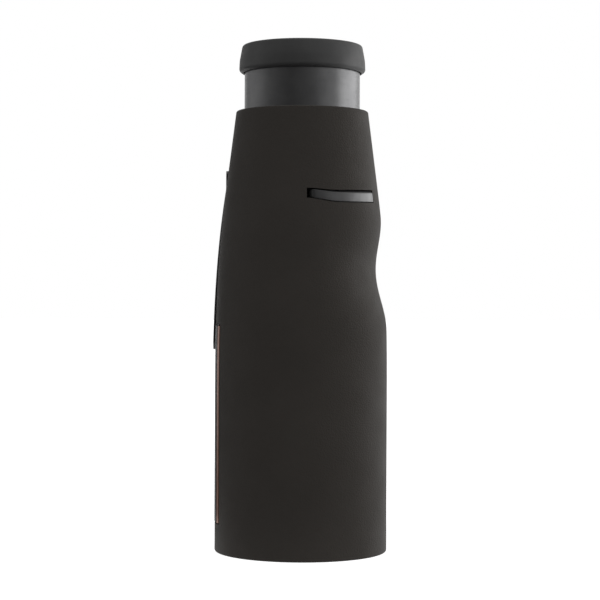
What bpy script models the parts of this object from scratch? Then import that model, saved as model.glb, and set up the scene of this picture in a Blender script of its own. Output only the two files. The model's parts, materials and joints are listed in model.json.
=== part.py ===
"""Laser rangefinder: a slim monocular with its optics, laser, battery and covers as separate pieces.

Metres. +Z runs from the front windows to the eyecup, and the origin is the middle of the front
plate's outer face. +X is the flank with the finger groove, -X the flank with the pocket clip,
+Y the narrow side with the two buttons. "near" pieces lie towards -Y and "far" ones towards +Y.
"""

import math

import bmesh
import bpy
from mathutils import Matrix, Vector

GAP = 0.0003  # clearance where one piece seats on or in another
OVERRUN = 0.001  # how far a cutter runs past the surface that it opens

# Body: a rounded section, half circles joined by flat flanks, that draws in towards the eyepiece
BODY_LENGTH = 0.0967
HALF_WIDTH = 0.0190
HALF_HEIGHT = 0.0375
TAPER_START_Z = 0.030
TAPER_FULL_Z = 0.078
TAPER_SLOPE = 0.130  # of the flanks, once the taper is straight
HEIGHT_TAPER_SHARE = 0.55  # how much of it the narrow sides take
ARMOR_WALL = 0.0014
FRONT_EDGE = 0.0009
REAR_EDGE = 0.0005
CHASSIS_WALL = 0.0016
GROOVE_Z = 0.0615
GROOVE_LENGTH = 0.0245
GROOVE_DEPTH = 0.0020
GROOVE_FADE = 0.2  # share of the sideways normal at which the groove has run out

# Front plate
BEZEL_THICKNESS = 0.0025
BEZEL_SCREW_X = 0.0140
BEZEL_SCREW_Y = -0.0030
BEZEL_BOSS_LENGTH = 0.0075
BOSS_HALF = 0.0020
SCREW_RADIUS = 0.0008
SCREW_HEAD_RADIUS = 0.0016
SCREW_HEAD_HEIGHT = 0.0011
BEZEL_SCREW_LENGTH = 0.0070

# Viewing optics, on one axis from the objective to the eyecup
VIEW_BELOW_TOP = 0.0225  # from the far side's crown to the viewing axis
OBJECTIVE_RADIUS = 0.0122
OBJECTIVE_WALL = 0.0008
OBJECTIVE_STEP = 0.0012
OBJECTIVE_CELL_LENGTH = 0.0192
OBJECTIVE_SEAT_DEPTH = 0.0102
LENS_RING_HEIGHT = 0.0012
LENS_RING_WALL = 0.0009
FRONT_LENS_EDGE = 0.0026
FRONT_LENS_BULGE = 0.0013
REAR_LENS_EDGE = 0.0018
REAR_LENS_BULGE = 0.0010
TUNNEL_RADIUS = 0.0116
TUNNEL_WALL = 0.0010
PRISM_BLOCK_Z = 0.0380
PRISM_BLOCK_LENGTH = 0.0280
PRISM_BLOCK_HALF_X = 0.0102
PRISM_BLOCK_HALF_Y = 0.0110
PRISM_WALL = 0.0012
PRISM_WINDOW_RADIUS = 0.0088
PRISM_HALF_X = 0.0092
PRISM_SPLIT_SLOPE = 0.4142  # of the air gap between the prisms, 22.5 degrees
BARREL_RADIUS = 0.0116
BARREL_WALL = 0.0011
BARREL_COLLAR = 0.0013
BARREL_COLLAR_HEIGHT = 0.0022
DISPLAY_Z = 0.0760
DISPLAY_THICKNESS = 0.0010
OCULAR_Z = 0.0840
OCULAR_LENGTH = 0.0200
OCULAR_WALL = 0.0009
OCULAR_TRAVEL = 0.0012  # each way, for the dioptre setting
FIELD_LENS_EDGE = 0.0030
EYE_LENS_EDGE = 0.0034
EYE_LENS_BULGE = 0.0014
EYE_LENS_RECESS = 0.0028
DIOPTER_RADIUS = 0.0115
DIOPTER_BORE = 0.0088
DIOPTER_HEIGHT = 0.0022
DIOPTER_RIDGES = 24
DIOPTER_RIDGE_DEPTH = 0.0004

# Twist-out eyecup, drawn fully out
TUBE_RADIUS = 0.0137
TUBE_WALL = 0.0008
TUBE_FOOT_Z = 0.0925
EYECUP_LIP_Z = 0.1096
EYECUP_TOP_Z = 0.1163
EYECUP_RADIUS = 0.01516
EYECUP_RIM_RADIUS = 0.0144
EYECUP_MOUTH_RADIUS = 0.0123
EYECUP_RIM_EDGE = 0.0009
EYECUP_SHELF = 0.0027
GUIDE_RING_HEIGHT = 0.0035

# Rear cover
COVER_Z = 0.0815
COVER_DROP = 0.0005
COVER_FLOOR = 0.0025
REAR_SCREW_NEAR_X = 0.0102
REAR_SCREW_NEAR_RISE = 0.0100  # from the battery's axis towards the eyecup
REAR_SCREW_FAR_X = 0.0040
REAR_SCREW_FAR_RIM = 0.00405  # in from the far side's crown
REAR_SCREW_LENGTH = 0.0195
REAR_BOSS_LENGTH = 0.0067

# Receiver, emitter and their boards
RECEIVER_RADIUS = 0.0099
RECEIVER_WALL = 0.0010
RECEIVER_BARREL_LENGTH = 0.0100
RECEIVER_CELL_LENGTH = 0.0305
RECEIVER_TIP_RADIUS = 0.0056
SENSOR_RADIUS = 0.0042
SENSOR_HEIGHT = 0.0036
SENSOR_FLANGE = 0.0008
RECEIVER_BOARD_HALF_X = 0.0090
RECEIVER_BOARD_DROP = 0.0100  # below the receiving axis
EMITTER_RADIUS = 0.0026
EMITTER_WALL = 0.0004
EMITTER_LENGTH = 0.0172
EMITTER_LENS_EDGE = 0.0014
DIODE_LENGTH = 0.0036
BOARD_THICKNESS = 0.0012
BOARD_POST = 0.0030
MAIN_BOARD_HALF_X = 0.0118
MAIN_BOARD_Z = 0.0240
CHIP_SIZES = ((0.0070, 0.0560, 0.0090), (0.0052, 0.0420, 0.0070), (0.0044, 0.0305, 0.0052))
CHIP_HEIGHT = 0.0010
BOARD_SCREW_X = 0.0076
BOARD_SCREW_Z = (0.0460, 0.0620)
BOARD_SCREW_LENGTH = 0.0052

# Buttons on the far side
BUTTON_BOARD_HALF_X = 0.0050
BUTTON_BOARD_Z = (0.0440, 0.0730)
BUTTON_BOARD_THICKNESS = 0.0007
SWITCH_HALF = 0.0021
SWITCH_HEIGHT = 0.0018
BUTTON_TRAVEL = 0.0006
BUTTON_REST_AIR = 0.0008
BUTTON_FLANGE = 0.0007
BUTTON_PROUD = 0.0007
BUTTON_DOME = 0.0004
RANGE_BUTTON_RADIUS = 0.0048
RANGE_BUTTON_Z = 0.0660
MODE_BUTTON_RADIUS = 0.0036
MODE_BUTTON_Z = 0.0500

# Battery compartment
BATTERY_RADIUS = 0.0078
BATTERY_LENGTH = 0.0270
BATTERY_CLEARANCE = 0.0004
BATTERY_AIR = 0.0007  # below the cap's contact
BATTERY_TUBE_WALL = 0.0010
BATTERY_PIP_RADIUS = 0.0030
BATTERY_PIP_HEIGHT = 0.0007
SPRING_HEIGHT = 0.0024
SPRING_WIRE = 0.0004
SPRING_TURNS = 2.5
CONTACT_THICKNESS = 0.0004
CONTACT_RADIUS = 0.0060
TUBE_FLOOR = 0.0012
CAP_RADIUS = 0.0102
CAP_HEAD_HEIGHT = 0.0019
CAP_SKIRT_RADIUS = 0.0093
CAP_SKIRT_LENGTH = 0.0048
CAP_SLOT_WIDTH = 0.0018
CAP_SLOT_LENGTH = 0.0150
CAP_SLOT_DEPTH = 0.0010
SEAL_WIRE = 0.0012
SEAL_GROOVE_DEPTH = 0.0015
SEAL_Z_BELOW_HEAD = 0.0014

# Strap bar, in a slot round the near corner
SLOT_Z = (0.0762, 0.0792)
SLOT_ANGLES = (273.5, 338.5)
BAR_Z = (0.0765, 0.0783)
BAR_ANGLES = (275.0, 337.0)
BAR_THICKNESS = 0.0010
BAR_LEG_ANGLE = 5.0
ANCHOR_ANGLES = (271.5, 341.0)
ANCHOR_THICKNESS = 0.0020
ANCHOR_MARGIN = 0.0020

# Pocket clip on the flank
CLIP_Z = (0.0439, 0.0852)
CLIP_BEND_Z = 0.0806
CLIP_HALF_WIDTH = 0.0070
CLIP_THICKNESS = 0.0006
CLIP_FLARE = 0.0005  # added to the gap at the free end
CLIP_SCREW_Y = 0.0035
CLIP_SCREW_LENGTH = 0.0045
CLIP_HOLE_RADIUS = 0.0018
CLIP_PAD_MARGIN = 0.0005
CLIP_PAD_RISE = 0.0014  # above the clip's upper end

# Inlaid panel and its border, round the same flank
PANEL_Z = (0.00665, 0.0496)
PANEL_ANGLE = 17.6  # from the flank to the middle of the border, round the half circle
TRIM_WIDTH = 0.0014
PANEL_THICKNESS = 0.0006
PANEL_DROP = 0.00015

# Fineness of the round surfaces
ARC_STEPS = 12
ROUND = 14
FINE_ROUND = 32
MEDIUM_ROUND = 18

FINISHES = {
    "armor_rubber": ((0.030, 0.027, 0.024), 0.75, 0.0),
    "dark_polymer": ((0.020, 0.020, 0.021), 0.50, 0.0),
    "anodised_metal": ((0.070, 0.070, 0.072), 0.38, 0.85),
    "eyecup_rubber": ((0.040, 0.040, 0.040), 0.65, 0.0),
    "copper_metal": ((0.300, 0.145, 0.100), 0.35, 0.9),
    "black_metal": ((0.012, 0.012, 0.013), 0.45, 0.6),
    "steel": ((0.350, 0.350, 0.350), 0.30, 1.0),
    "brass": ((0.550, 0.400, 0.180), 0.30, 1.0),
    "glass": ((0.600, 0.700, 0.720), 0.05, 0.0),
    "board": ((0.020, 0.110, 0.050), 0.50, 0.0),
    "battery_label": ((0.080, 0.090, 0.120), 0.40, 0.0),
    "button_rubber": ((0.022, 0.022, 0.023), 0.60, 0.0),
}

# Planes in which flat outlines are drawn, each with its thickness along the third axis
PLANE_XZ = Matrix(((1, 0, 0), (0, 0, -1), (0, 1, 0))).to_4x4()
PLANE_YZ = Matrix(((0, 0, 1), (1, 0, 0), (0, 1, 0))).to_4x4()

# Ways to point a turned piece's own +Z
POINT_FRONT = (math.pi, 0.0, 0.0)
POINT_FAR = (-math.pi / 2, 0.0, 0.0)
POINT_NEAR = (math.pi / 2, 0.0, 0.0)
POINT_LEFT = (0.0, -math.pi / 2, 0.0)


# ---------------------------------------------------------------- scene and shapes


def clear_scene():
    for obj in list(bpy.data.objects):
        bpy.data.objects.remove(obj, do_unlink=True)


def new_collection(name):
    collection = bpy.data.collections.new(name)
    bpy.context.scene.collection.children.link(collection)
    return collection


def set_finish(obj, finish):
    colour, roughness, metallic = FINISHES[finish]
    material = bpy.data.materials.new(obj.name + "_finish")
    material.use_nodes = True
    shader = material.node_tree.nodes["Principled BSDF"]
    shader.inputs["Base Color"].default_value = (*colour, 1.0)
    shader.inputs["Roughness"].default_value = roughness
    shader.inputs["Metallic"].default_value = metallic
    material.diffuse_color = (*colour, 1.0)
    obj.data.materials.append(material)


def new_part(name, mesh, finish):
    obj = bpy.data.objects.new(name, mesh)
    PARTS.objects.link(obj)
    set_finish(obj, finish)
    return obj


def as_tool(obj):
    """Turns an object into a helper that only cuts or joins."""
    PARTS.objects.unlink(obj)
    TOOLS.objects.link(obj)
    obj.hide_render = True
    obj.display_type = "WIRE"


def combine(obj, tool, operation):
    if tool.name in PARTS.objects:
        as_tool(tool)
    modifier = obj.modifiers.new(tool.name, "BOOLEAN")
    modifier.operation = operation
    modifier.object = tool
    modifier.solver = "EXACT"


def cut(obj, *tools):
    for tool in tools:
        combine(obj, tool, "DIFFERENCE")


def join(obj, *tools):
    for tool in tools:
        combine(obj, tool, "UNION")


def mesh_from(name, builder):
    bmesh.ops.recalc_face_normals(builder, faces=builder.faces)
    mesh = bpy.data.meshes.new(name)
    builder.to_mesh(mesh)
    builder.free()
    mesh.shade_smooth()
    mesh.set_sharp_from_angle(angle=math.radians(30))
    return mesh


def block(name, low, high, finish="dark_polymer"):
    """Box between two opposite corners."""
    low = Vector(low)
    high = Vector(high)
    builder = bmesh.new()
    bmesh.ops.create_cube(builder, size=1.0)
    bmesh.ops.scale(builder, vec=high - low, verts=builder.verts)
    bmesh.ops.translate(builder, vec=(low + high) / 2, verts=builder.verts)
    return new_part(name, mesh_from(name, builder), finish)


def turned(name, profile, at=(0.0, 0.0, 0.0), finish="anodised_metal", steps=ROUND, rotation=(0, 0, 0)):
    """Turned piece. The profile is (radius, z) down the outer side, then up the bore if there is one."""
    mesh = bpy.data.meshes.new(name)
    edges = [(i, i + 1) for i in range(len(profile) - 1)]
    if min(radius for radius, _ in profile) > 0:
        edges.append((len(profile) - 1, 0))
    mesh.from_pydata([(radius, 0.0, z) for radius, z in profile], edges, [])
    obj = new_part(name, mesh, finish)
    obj.location = at
    obj.rotation_euler = rotation
    screw = obj.modifiers.new("Turn", "SCREW")
    screw.steps = steps
    screw.render_steps = steps
    screw.use_merge_vertices = True
    screw.merge_threshold = 0.00001
    screw.use_smooth_shade = True
    return obj


def cylinder(name, radius, low, high, at=(0.0, 0.0, 0.0), finish="anodised_metal", steps=ROUND, rotation=(0, 0, 0)):
    profile = [(0.0, high), (radius, high), (radius, low), (0.0, low)]
    return turned(name, profile, at, finish, steps, rotation)


def ring(name, outer, inner, low, high, at, finish="anodised_metal", steps=ROUND):
    profile = [(outer, high), (outer, low), (inner, low), (inner, high)]
    return turned(name, profile, at, finish, steps)


def lens(name, radius, low, edge, bulge_low, bulge_high, at):
    """Lens whose rim runs from low to low + edge, and whose faces bulge by the given amounts."""
    high = low + edge
    half = radius / 2
    profile = [
        (0.0, high + bulge_high),
        (half, high + 0.75 * bulge_high),
        (radius, high),
        (radius, low),
        (half, low - 0.75 * bulge_low),
        (0.0, low - bulge_low),
    ]
    return turned(name, profile, at, "glass")


def screw(name, shank, at, rotation, head=SCREW_HEAD_HEIGHT):
    """Screw whose head's outer face is at its origin, with its shank towards its own -Z."""
    profile = [
        (0.0, 0.0),
        (SCREW_HEAD_RADIUS, 0.0),
        (SCREW_HEAD_RADIUS, -head),
        (SCREW_RADIUS, -head),
        (SCREW_RADIUS, -head - shank),
        (0.0, -head - shank),
    ]
    return turned(name, profile, at, "steel", 12, rotation)


def screw_hole(name, depth, at, rotation, head=0.0):
    """Clearance for a screw, with a counterbore of depth head round its own origin."""
    radius = SCREW_RADIUS + GAP
    if head == 0.0:
        return cylinder(name, radius, -depth, OVERRUN, at, steps=12, rotation=rotation)
    wide = SCREW_HEAD_RADIUS + GAP
    profile = [(0.0, OVERRUN), (wide, OVERRUN), (wide, -head), (radius, -head), (radius, -depth), (0.0, -depth)]
    return turned(name, profile, at, "steel", 12, rotation)


def extruded(name, outline, width, plane, at, finish):
    """Flat outline with a width about its own plane, as a mesh."""
    curve = bpy.data.curves.new(name + "_outline", "CURVE")
    curve.dimensions = "2D"
    curve.fill_mode = "BOTH"
    curve.extrude = width / 2
    spline = curve.splines.new("POLY")
    spline.points.add(len(outline) - 1)
    spline.use_cyclic_u = True
    for point, (across, up) in zip(spline.points, outline):
        point.co = (across, up, 0.0, 1.0)
    drawn = bpy.data.objects.new(name + "_outline", curve)
    drawn.matrix_world = Matrix.Translation(at) @ plane
    PARTS.objects.link(drawn)
    graph = bpy.context.evaluated_depsgraph_get()
    mesh = bpy.data.meshes.new_from_object(drawn.evaluated_get(graph))
    builder = bmesh.new()
    builder.from_mesh(mesh)
    bmesh.ops.remove_doubles(builder, verts=builder.verts, dist=0.000001)
    bmesh.ops.recalc_face_normals(builder, faces=builder.faces)
    builder.to_mesh(mesh)
    builder.free()
    obj = new_part(name, mesh, finish)
    obj.matrix_world = drawn.matrix_world
    bpy.data.objects.remove(drawn, do_unlink=True)
    return obj


# ---------------------------------------------------------------- the body's section


def taper(z):
    """How far the flanks have drawn in at z: a smooth bend into a straight taper."""
    bend = TAPER_FULL_Z - TAPER_START_Z
    run = min(max(z - TAPER_START_Z, 0.0), bend)
    return TAPER_SLOPE * (run**3 / (3 * bend**2) + max(z - TAPER_FULL_Z, 0.0))


def half_width(z):
    return HALF_WIDTH - taper(z)


def half_height(z):
    return HALF_HEIGHT - HEIGHT_TAPER_SHARE * taper(z)


def groove_depth(z, normal_x):
    """Depth of the finger groove at z, where the surface faces sideways by normal_x."""
    along = (z - GROOVE_Z) / (GROOVE_LENGTH / 2)
    if abs(along) >= 1 or normal_x <= GROOVE_FADE:
        return 0.0
    across = (normal_x - GROOVE_FADE) / (1 - GROOVE_FADE)
    smooth = across * across * (3 - 2 * across)
    return GROOVE_DEPTH * smooth * (0.5 + 0.5 * math.cos(math.pi * along))


def surface_point(station, z, inset):
    """Point of the section at z, set in from the armour's surface. A station is (normal x, normal y, end)."""
    normal_x, normal_y, end = station
    radius = half_width(z) - inset - groove_depth(z, normal_x)
    centre_y = end * (half_height(z) - half_width(z))
    return Vector((normal_x * radius, centre_y + normal_y * radius, z))


def arc(end, start, stop, steps):
    """Stations round one half circle of the section: end is -1 for the near one and 1 for the far one."""
    angles = [math.radians(start + (stop - start) * i / steps) for i in range(steps + 1)]
    return [(math.cos(angle), math.sin(angle), end) for angle in angles]


def whole_section():
    return arc(-1, 180, 360, ARC_STEPS) + arc(1, 0, 180, ARC_STEPS)


def round_inset(distance, radius):
    """How far a rounded edge draws in at this distance from the end face."""
    if distance >= radius:
        return 0.0
    return radius - math.sqrt(radius**2 - (radius - distance) ** 2)


def armor_inset(z):
    return round_inset(z, FRONT_EDGE) + round_inset(BODY_LENGTH - z, REAR_EDGE)


def body_levels(low, high):
    """Heights at which every loft of the body has a ring, so that nested walls stay parallel."""
    groove_low = GROOVE_Z - GROOVE_LENGTH / 2
    groove_high = GROOVE_Z + GROOVE_LENGTH / 2
    marks = [TAPER_START_Z * i / 2 for i in range(3)]
    marks += [TAPER_START_Z + (groove_low - TAPER_START_Z) * i / 2 for i in (1, 2)]
    marks += [groove_low + (groove_high - groove_low) * i / 8 for i in range(1, 9)]
    marks += [groove_high + (BODY_LENGTH - groove_high) * i / 4 for i in (1, 2, 3, 4)]
    return [low] + [z for z in marks if low + 0.0005 < z < high - 0.0005] + [high]


def skin(builder, stations, levels, inset):
    return [[builder.verts.new(surface_point(s, z, inset(z))) for s in stations] for z in levels]


def bridge(builder, first, second, looped):
    """Faces between two rows of points."""
    count = len(first)
    for i in range(count if looped else count - 1):
        j = (i + 1) % count
        builder.faces.new((first[i], first[j], second[j], second[i]))


def shell(name, stations, levels, outer, inner, finish, looped=False):
    """Wall of the body between two insets, each a function of z."""
    builder = bmesh.new()
    outside = skin(builder, stations, levels, outer)
    inside = skin(builder, stations, levels, inner)
    for rows in (outside, inside):
        for low, high in zip(rows, rows[1:]):
            bridge(builder, low, high, looped)
    bridge(builder, outside[0], inside[0], looped)
    bridge(builder, outside[-1], inside[-1], looped)
    if not looped:
        for end in (0, -1):
            bridge(builder, [row[end] for row in outside], [row[end] for row in inside], False)
    return new_part(name, mesh_from(name, builder), finish)


def plug(name, levels, inset, finish):
    """Solid slice of the body."""
    builder = bmesh.new()
    rows = skin(builder, whole_section(), levels, inset)
    for low, high in zip(rows, rows[1:]):
        bridge(builder, low, high, True)
    builder.faces.new(rows[0])
    builder.faces.new(rows[-1])
    return new_part(name, mesh_from(name, builder), finish)


def steady(inset):
    return lambda z: inset


# ---------------------------------------------------------------- sizes that follow from the ones above

CHASSIS_INSET = ARMOR_WALL + GAP
CHASSIS_INNER = CHASSIS_INSET + CHASSIS_WALL
CHASSIS_Z = (BEZEL_THICKNESS + GAP, COVER_Z - GAP)
COVER_TOP_Z = BODY_LENGTH - COVER_DROP
CELL_Z = BEZEL_THICKNESS + GAP
VIEW_Y = HALF_HEIGHT - VIEW_BELOW_TOP
NEAR_CENTRE_Y = HALF_WIDTH - HALF_HEIGHT
RECEIVER_Y = NEAR_CENTRE_Y
BATTERY_Y = NEAR_CENTRE_Y
EMITTER_Y = HALF_HEIGHT - CHASSIS_INNER - GAP - EMITTER_RADIUS
REAR_SCREW_NEAR_Y = BATTERY_Y + REAR_SCREW_NEAR_RISE
REAR_SCREW_FAR_Y = half_height(COVER_TOP_Z) - REAR_SCREW_FAR_RIM
REAR_BOSS_Z = (CHASSIS_Z[1] - REAR_BOSS_LENGTH, CHASSIS_Z[1])
VIEW_AXIS = (0.0, VIEW_Y, 0.0)
RECEIVER_AXIS = (0.0, RECEIVER_Y, 0.0)
EMITTER_AXIS = (0.0, EMITTER_Y, 0.0)
BATTERY_AXIS = (0.0, BATTERY_Y, 0.0)
BARREL_BORE = BARREL_RADIUS - BARREL_WALL
BARREL_TOP_Z = OCULAR_Z + OCULAR_LENGTH + OCULAR_TRAVEL + GAP
OCULAR_RADIUS = BARREL_BORE - GAP
OCULAR_BORE = OCULAR_RADIUS - OCULAR_WALL
TUBE_BORE = TUBE_RADIUS - TUBE_WALL
COVER_BORE = TUBE_RADIUS + GAP
COVER_BORE_Z = COVER_Z + COVER_FLOOR
CAP_TOP_Z = BODY_LENGTH
CAP_HEAD_Z = CAP_TOP_Z - CAP_HEAD_HEIGHT
CAP_FOOT_Z = CAP_HEAD_Z - CAP_SKIRT_LENGTH
CAP_CONTACT_TOP_Z = CAP_FOOT_Z - GAP
CAP_CONTACT_Z = CAP_CONTACT_TOP_Z - CONTACT_THICKNESS
BATTERY_TOP_Z = CAP_CONTACT_Z - BATTERY_AIR
BATTERY_Z = BATTERY_TOP_Z - BATTERY_LENGTH
SPRING_TOP_Z = BATTERY_Z - GAP
SPRING_Z = SPRING_TOP_Z - SPRING_HEIGHT
CONTACT_Z = SPRING_Z - GAP - CONTACT_THICKNESS
TUBE_FLOOR_Z = CONTACT_Z - GAP - TUBE_FLOOR
BATTERY_BORE = BATTERY_RADIUS + BATTERY_CLEARANCE
BATTERY_TUBE_RADIUS = BATTERY_BORE + BATTERY_TUBE_WALL
BLOCK_TOP_Y = VIEW_Y + PRISM_BLOCK_HALF_Y
BLOCK_FOOT_Y = VIEW_Y - PRISM_BLOCK_HALF_Y
BLOCK_TOP_Z = PRISM_BLOCK_Z + PRISM_BLOCK_LENGTH
BUTTON_BOARD_Y = max(BLOCK_TOP_Y, VIEW_Y + BARREL_RADIUS) + GAP
SWITCH_Y = BUTTON_BOARD_Y + BUTTON_BOARD_THICKNESS + GAP
BUTTON_FOOT_Y = SWITCH_Y + SWITCH_HEIGHT + BUTTON_REST_AIR
MAIN_BOARD_TOP_Y = BLOCK_FOOT_Y - BOARD_POST - GAP
MAIN_BOARD_Y = MAIN_BOARD_TOP_Y - BOARD_THICKNESS
CLIP_INNER_X = -half_width(CLIP_BEND_Z) - GAP
CLIP_PIVOT_Z = (CLIP_BEND_Z + CLIP_Z[1]) / 2
CLIP_PAD_TOP_Z = CLIP_Z[1] + CLIP_PAD_RISE


# ---------------------------------------------------------------- shell and covers


def make_clip_pad():
    """Raised pad on the armour, whose upright face backs the clip's root."""
    face_x = -half_width(CLIP_BEND_Z)
    back_x = face_x + ARMOR_WALL * 0.7
    outline = [
        (face_x, CLIP_BEND_Z),
        (face_x, CLIP_Z[1] + GAP),
        (-half_width(CLIP_PAD_TOP_Z) + GAP / 3, CLIP_PAD_TOP_Z),
        (back_x, CLIP_PAD_TOP_Z),
        (back_x, CLIP_BEND_Z - 4 * OVERRUN / 3),
    ]
    width = 2 * (CLIP_HALF_WIDTH + CLIP_PAD_MARGIN)
    return extruded("clip_pad", outline, width, PLANE_XZ, (0.0, 0.0, 0.0), "armor_rubber")


def panel_span(reach):
    """Stations round the left flank, as far as reach past the middle of the panel's border on both sides."""
    angle = PANEL_ANGLE + math.degrees(reach / HALF_WIDTH)
    return arc(1, 180 - angle, 180, 3) + arc(-1, 180, 180 + angle, 3)


def panel_patch(name, reach, shrink, top, bottom, finish):
    """Part of the flank's wall. shrink draws its ends in from the panel's full length."""
    low = PANEL_Z[0] + shrink
    high = PANEL_Z[1] - shrink
    middle = [z for z in body_levels(0.0, BODY_LENGTH) if low < z < high]
    return shell(name, panel_span(reach), [low, *middle, high], steady(top), steady(bottom), finish)


def slot_tool():
    wide = arc(-1, *SLOT_ANGLES, 8)
    return shell("slot_space", wide, SLOT_Z, steady(-OVERRUN), steady(CHASSIS_INNER + GAP / 2), "steel")


def button_hole(name, radius, z):
    at = (0.0, 0.0, z)
    foot = BUTTON_FOOT_Y + BUTTON_FLANGE
    return cylinder(name, radius + GAP, foot, HALF_HEIGHT + OVERRUN, at, rotation=POINT_FAR)


def clip_screw_places():
    return (("near", -CLIP_SCREW_Y), ("far", CLIP_SCREW_Y))


def rear_screw_places():
    return (
        ("near_left", -REAR_SCREW_NEAR_X, REAR_SCREW_NEAR_Y),
        ("near_right", REAR_SCREW_NEAR_X, REAR_SCREW_NEAR_Y),
        ("far_left", -REAR_SCREW_FAR_X, REAR_SCREW_FAR_Y),
        ("far_right", REAR_SCREW_FAR_X, REAR_SCREW_FAR_Y),
    )


def make_shared_tools():
    """Spaces that more than one piece is cut by."""
    tools = {
        "slot": slot_tool(),
        "range": button_hole("range_button_space", RANGE_BUTTON_RADIUS, RANGE_BUTTON_Z),
        "mode": button_hole("mode_button_space", MODE_BUTTON_RADIUS, MODE_BUTTON_Z),
        "eyecup": cylinder(
            "eyecup_space", COVER_BORE, COVER_BORE_Z, BODY_LENGTH + OVERRUN, VIEW_AXIS, steps=FINE_ROUND
        ),
    }
    for end, y in clip_screw_places():
        at = (CLIP_INNER_X - CLIP_THICKNESS, y, CLIP_PIVOT_Z)
        tools["clip_" + end] = screw_hole(
            "clip_screw_space_" + end, SCREW_HEAD_HEIGHT + CLIP_SCREW_LENGTH + GAP, at, POINT_LEFT, SCREW_HEAD_HEIGHT + GAP
        )
    for place, x, y in rear_screw_places():
        tools["rear_" + place] = screw_hole(
            "rear_screw_space_" + place,
            SCREW_HEAD_HEIGHT + REAR_SCREW_LENGTH + 2 * GAP,
            (x, y, COVER_TOP_Z),
            (0, 0, 0),
            SCREW_HEAD_HEIGHT + 2 * GAP,
        )
    for tool in tools.values():
        as_tool(tool)
    return tools


def make_armor(tools):
    rounds = [FRONT_EDGE * share for share in (0.1, 0.35, 1.0)]
    levels = [0.0, *rounds, *body_levels(0.0, BODY_LENGTH)[1:-1]]
    levels += [BODY_LENGTH - REAR_EDGE, BODY_LENGTH - 0.2 * REAR_EDGE, BODY_LENGTH]
    armor = shell("armor", whole_section(), levels, armor_inset, steady(ARMOR_WALL), "armor_rubber", looped=True)
    join(armor, make_clip_pad())
    reach = TRIM_WIDTH / 2 + GAP
    pocket = panel_patch("panel_pocket", reach, -GAP, -OVERRUN, PANEL_THICKNESS + 1.5 * GAP, "armor_rubber")
    cut(armor, pocket, tools["eyecup"], tools["slot"], tools["range"], tools["mode"])
    cut(armor, tools["clip_near"], tools["clip_far"])


def make_boss(name, low, high):
    return block(name, low, high, "dark_polymer")


def make_chassis(side, name, tools):
    """One half of the body. side is -1 for the left half and 1 for the right."""
    start = 270 if side > 0 else 90
    half = ARC_STEPS // 2
    if side > 0:
        stations = arc(-1, 270, 360, half) + arc(1, 0, 90, half)
    else:
        stations = arc(1, 90, 180, half) + arc(-1, 180, start + 180, half)
    levels = body_levels(*CHASSIS_Z)
    chassis = shell(name, stations, levels, steady(CHASSIS_INSET), steady(CHASSIS_INNER), "dark_polymer")
    for vertex in chassis.data.vertices:
        vertex.co.x = side * max(side * vertex.co.x, GAP / 2)

    def boss(label, x_range, y_range, z_range):
        xs = sorted(side * x for x in x_range)
        join(chassis, make_boss(name + label, (xs[0], y_range[0], z_range[0]), (xs[1], y_range[1], z_range[1])))

    wall_x = HALF_WIDTH - CHASSIS_INSET - CHASSIS_WALL / 2
    boss(
        "_front_boss",
        (BEZEL_SCREW_X - BOSS_HALF, wall_x),
        (BEZEL_SCREW_Y - BOSS_HALF, BEZEL_SCREW_Y + BOSS_HALF),
        (CHASSIS_Z[0], CHASSIS_Z[0] + BEZEL_BOSS_LENGTH),
    )
    near_x = REAR_SCREW_NEAR_X
    near_y = REAR_SCREW_NEAR_Y
    rear_wall_x = half_width(CHASSIS_Z[1]) - CHASSIS_INSET - CHASSIS_WALL / 2
    boss("_near_boss", (near_x - BOSS_HALF, rear_wall_x), (near_y - BOSS_HALF, near_y + BOSS_HALF), REAR_BOSS_Z)
    far_x = REAR_SCREW_FAR_X
    far_y = REAR_SCREW_FAR_Y
    far_half = BOSS_HALF - GAP
    boss("_far_boss", (far_x - far_half, far_x + far_half), (far_y - far_half, far_y + far_half), REAR_BOSS_Z)
    label = "left" if side < 0 else "right"
    cut(chassis, tools["rear_near_" + label], tools["rear_far_" + label], tools["range"], tools["mode"])
    at = (side * BEZEL_SCREW_X, BEZEL_SCREW_Y, 0.0)
    cut(chassis, screw_hole(name + "_front_hole", BEZEL_SCREW_LENGTH + 4 * GAP, at, POINT_FRONT))
    if side > 0:
        cut(chassis, tools["slot"])


def make_front_bezel():
    bezel = plug("front_bezel", (0.0, BEZEL_THICKNESS), steady(CHASSIS_INSET), "black_metal")
    openings = (
        ("objective_window", OBJECTIVE_RADIUS + GAP, VIEW_AXIS),
        ("receiver_window", RECEIVER_RADIUS + GAP, RECEIVER_AXIS),
        ("emitter_window", EMITTER_RADIUS - EMITTER_WALL, EMITTER_AXIS),
    )
    for name, radius, axis in openings:
        cut(bezel, cylinder(name, radius, -OVERRUN, BEZEL_THICKNESS + OVERRUN, axis, steps=FINE_ROUND))
    for label, side in (("left", -1), ("right", 1)):
        at = (side * BEZEL_SCREW_X, BEZEL_SCREW_Y, 0.0)
        depth = BEZEL_THICKNESS + OVERRUN
        cut(bezel, screw_hole("bezel_hole_" + label, depth, at, POINT_FRONT, SCREW_HEAD_HEIGHT + 2 * GAP))
        head_at = (at[0], at[1], GAP)
        screw("bezel_screw_" + label, BEZEL_SCREW_LENGTH - SCREW_HEAD_HEIGHT, head_at, POINT_FRONT)


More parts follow.
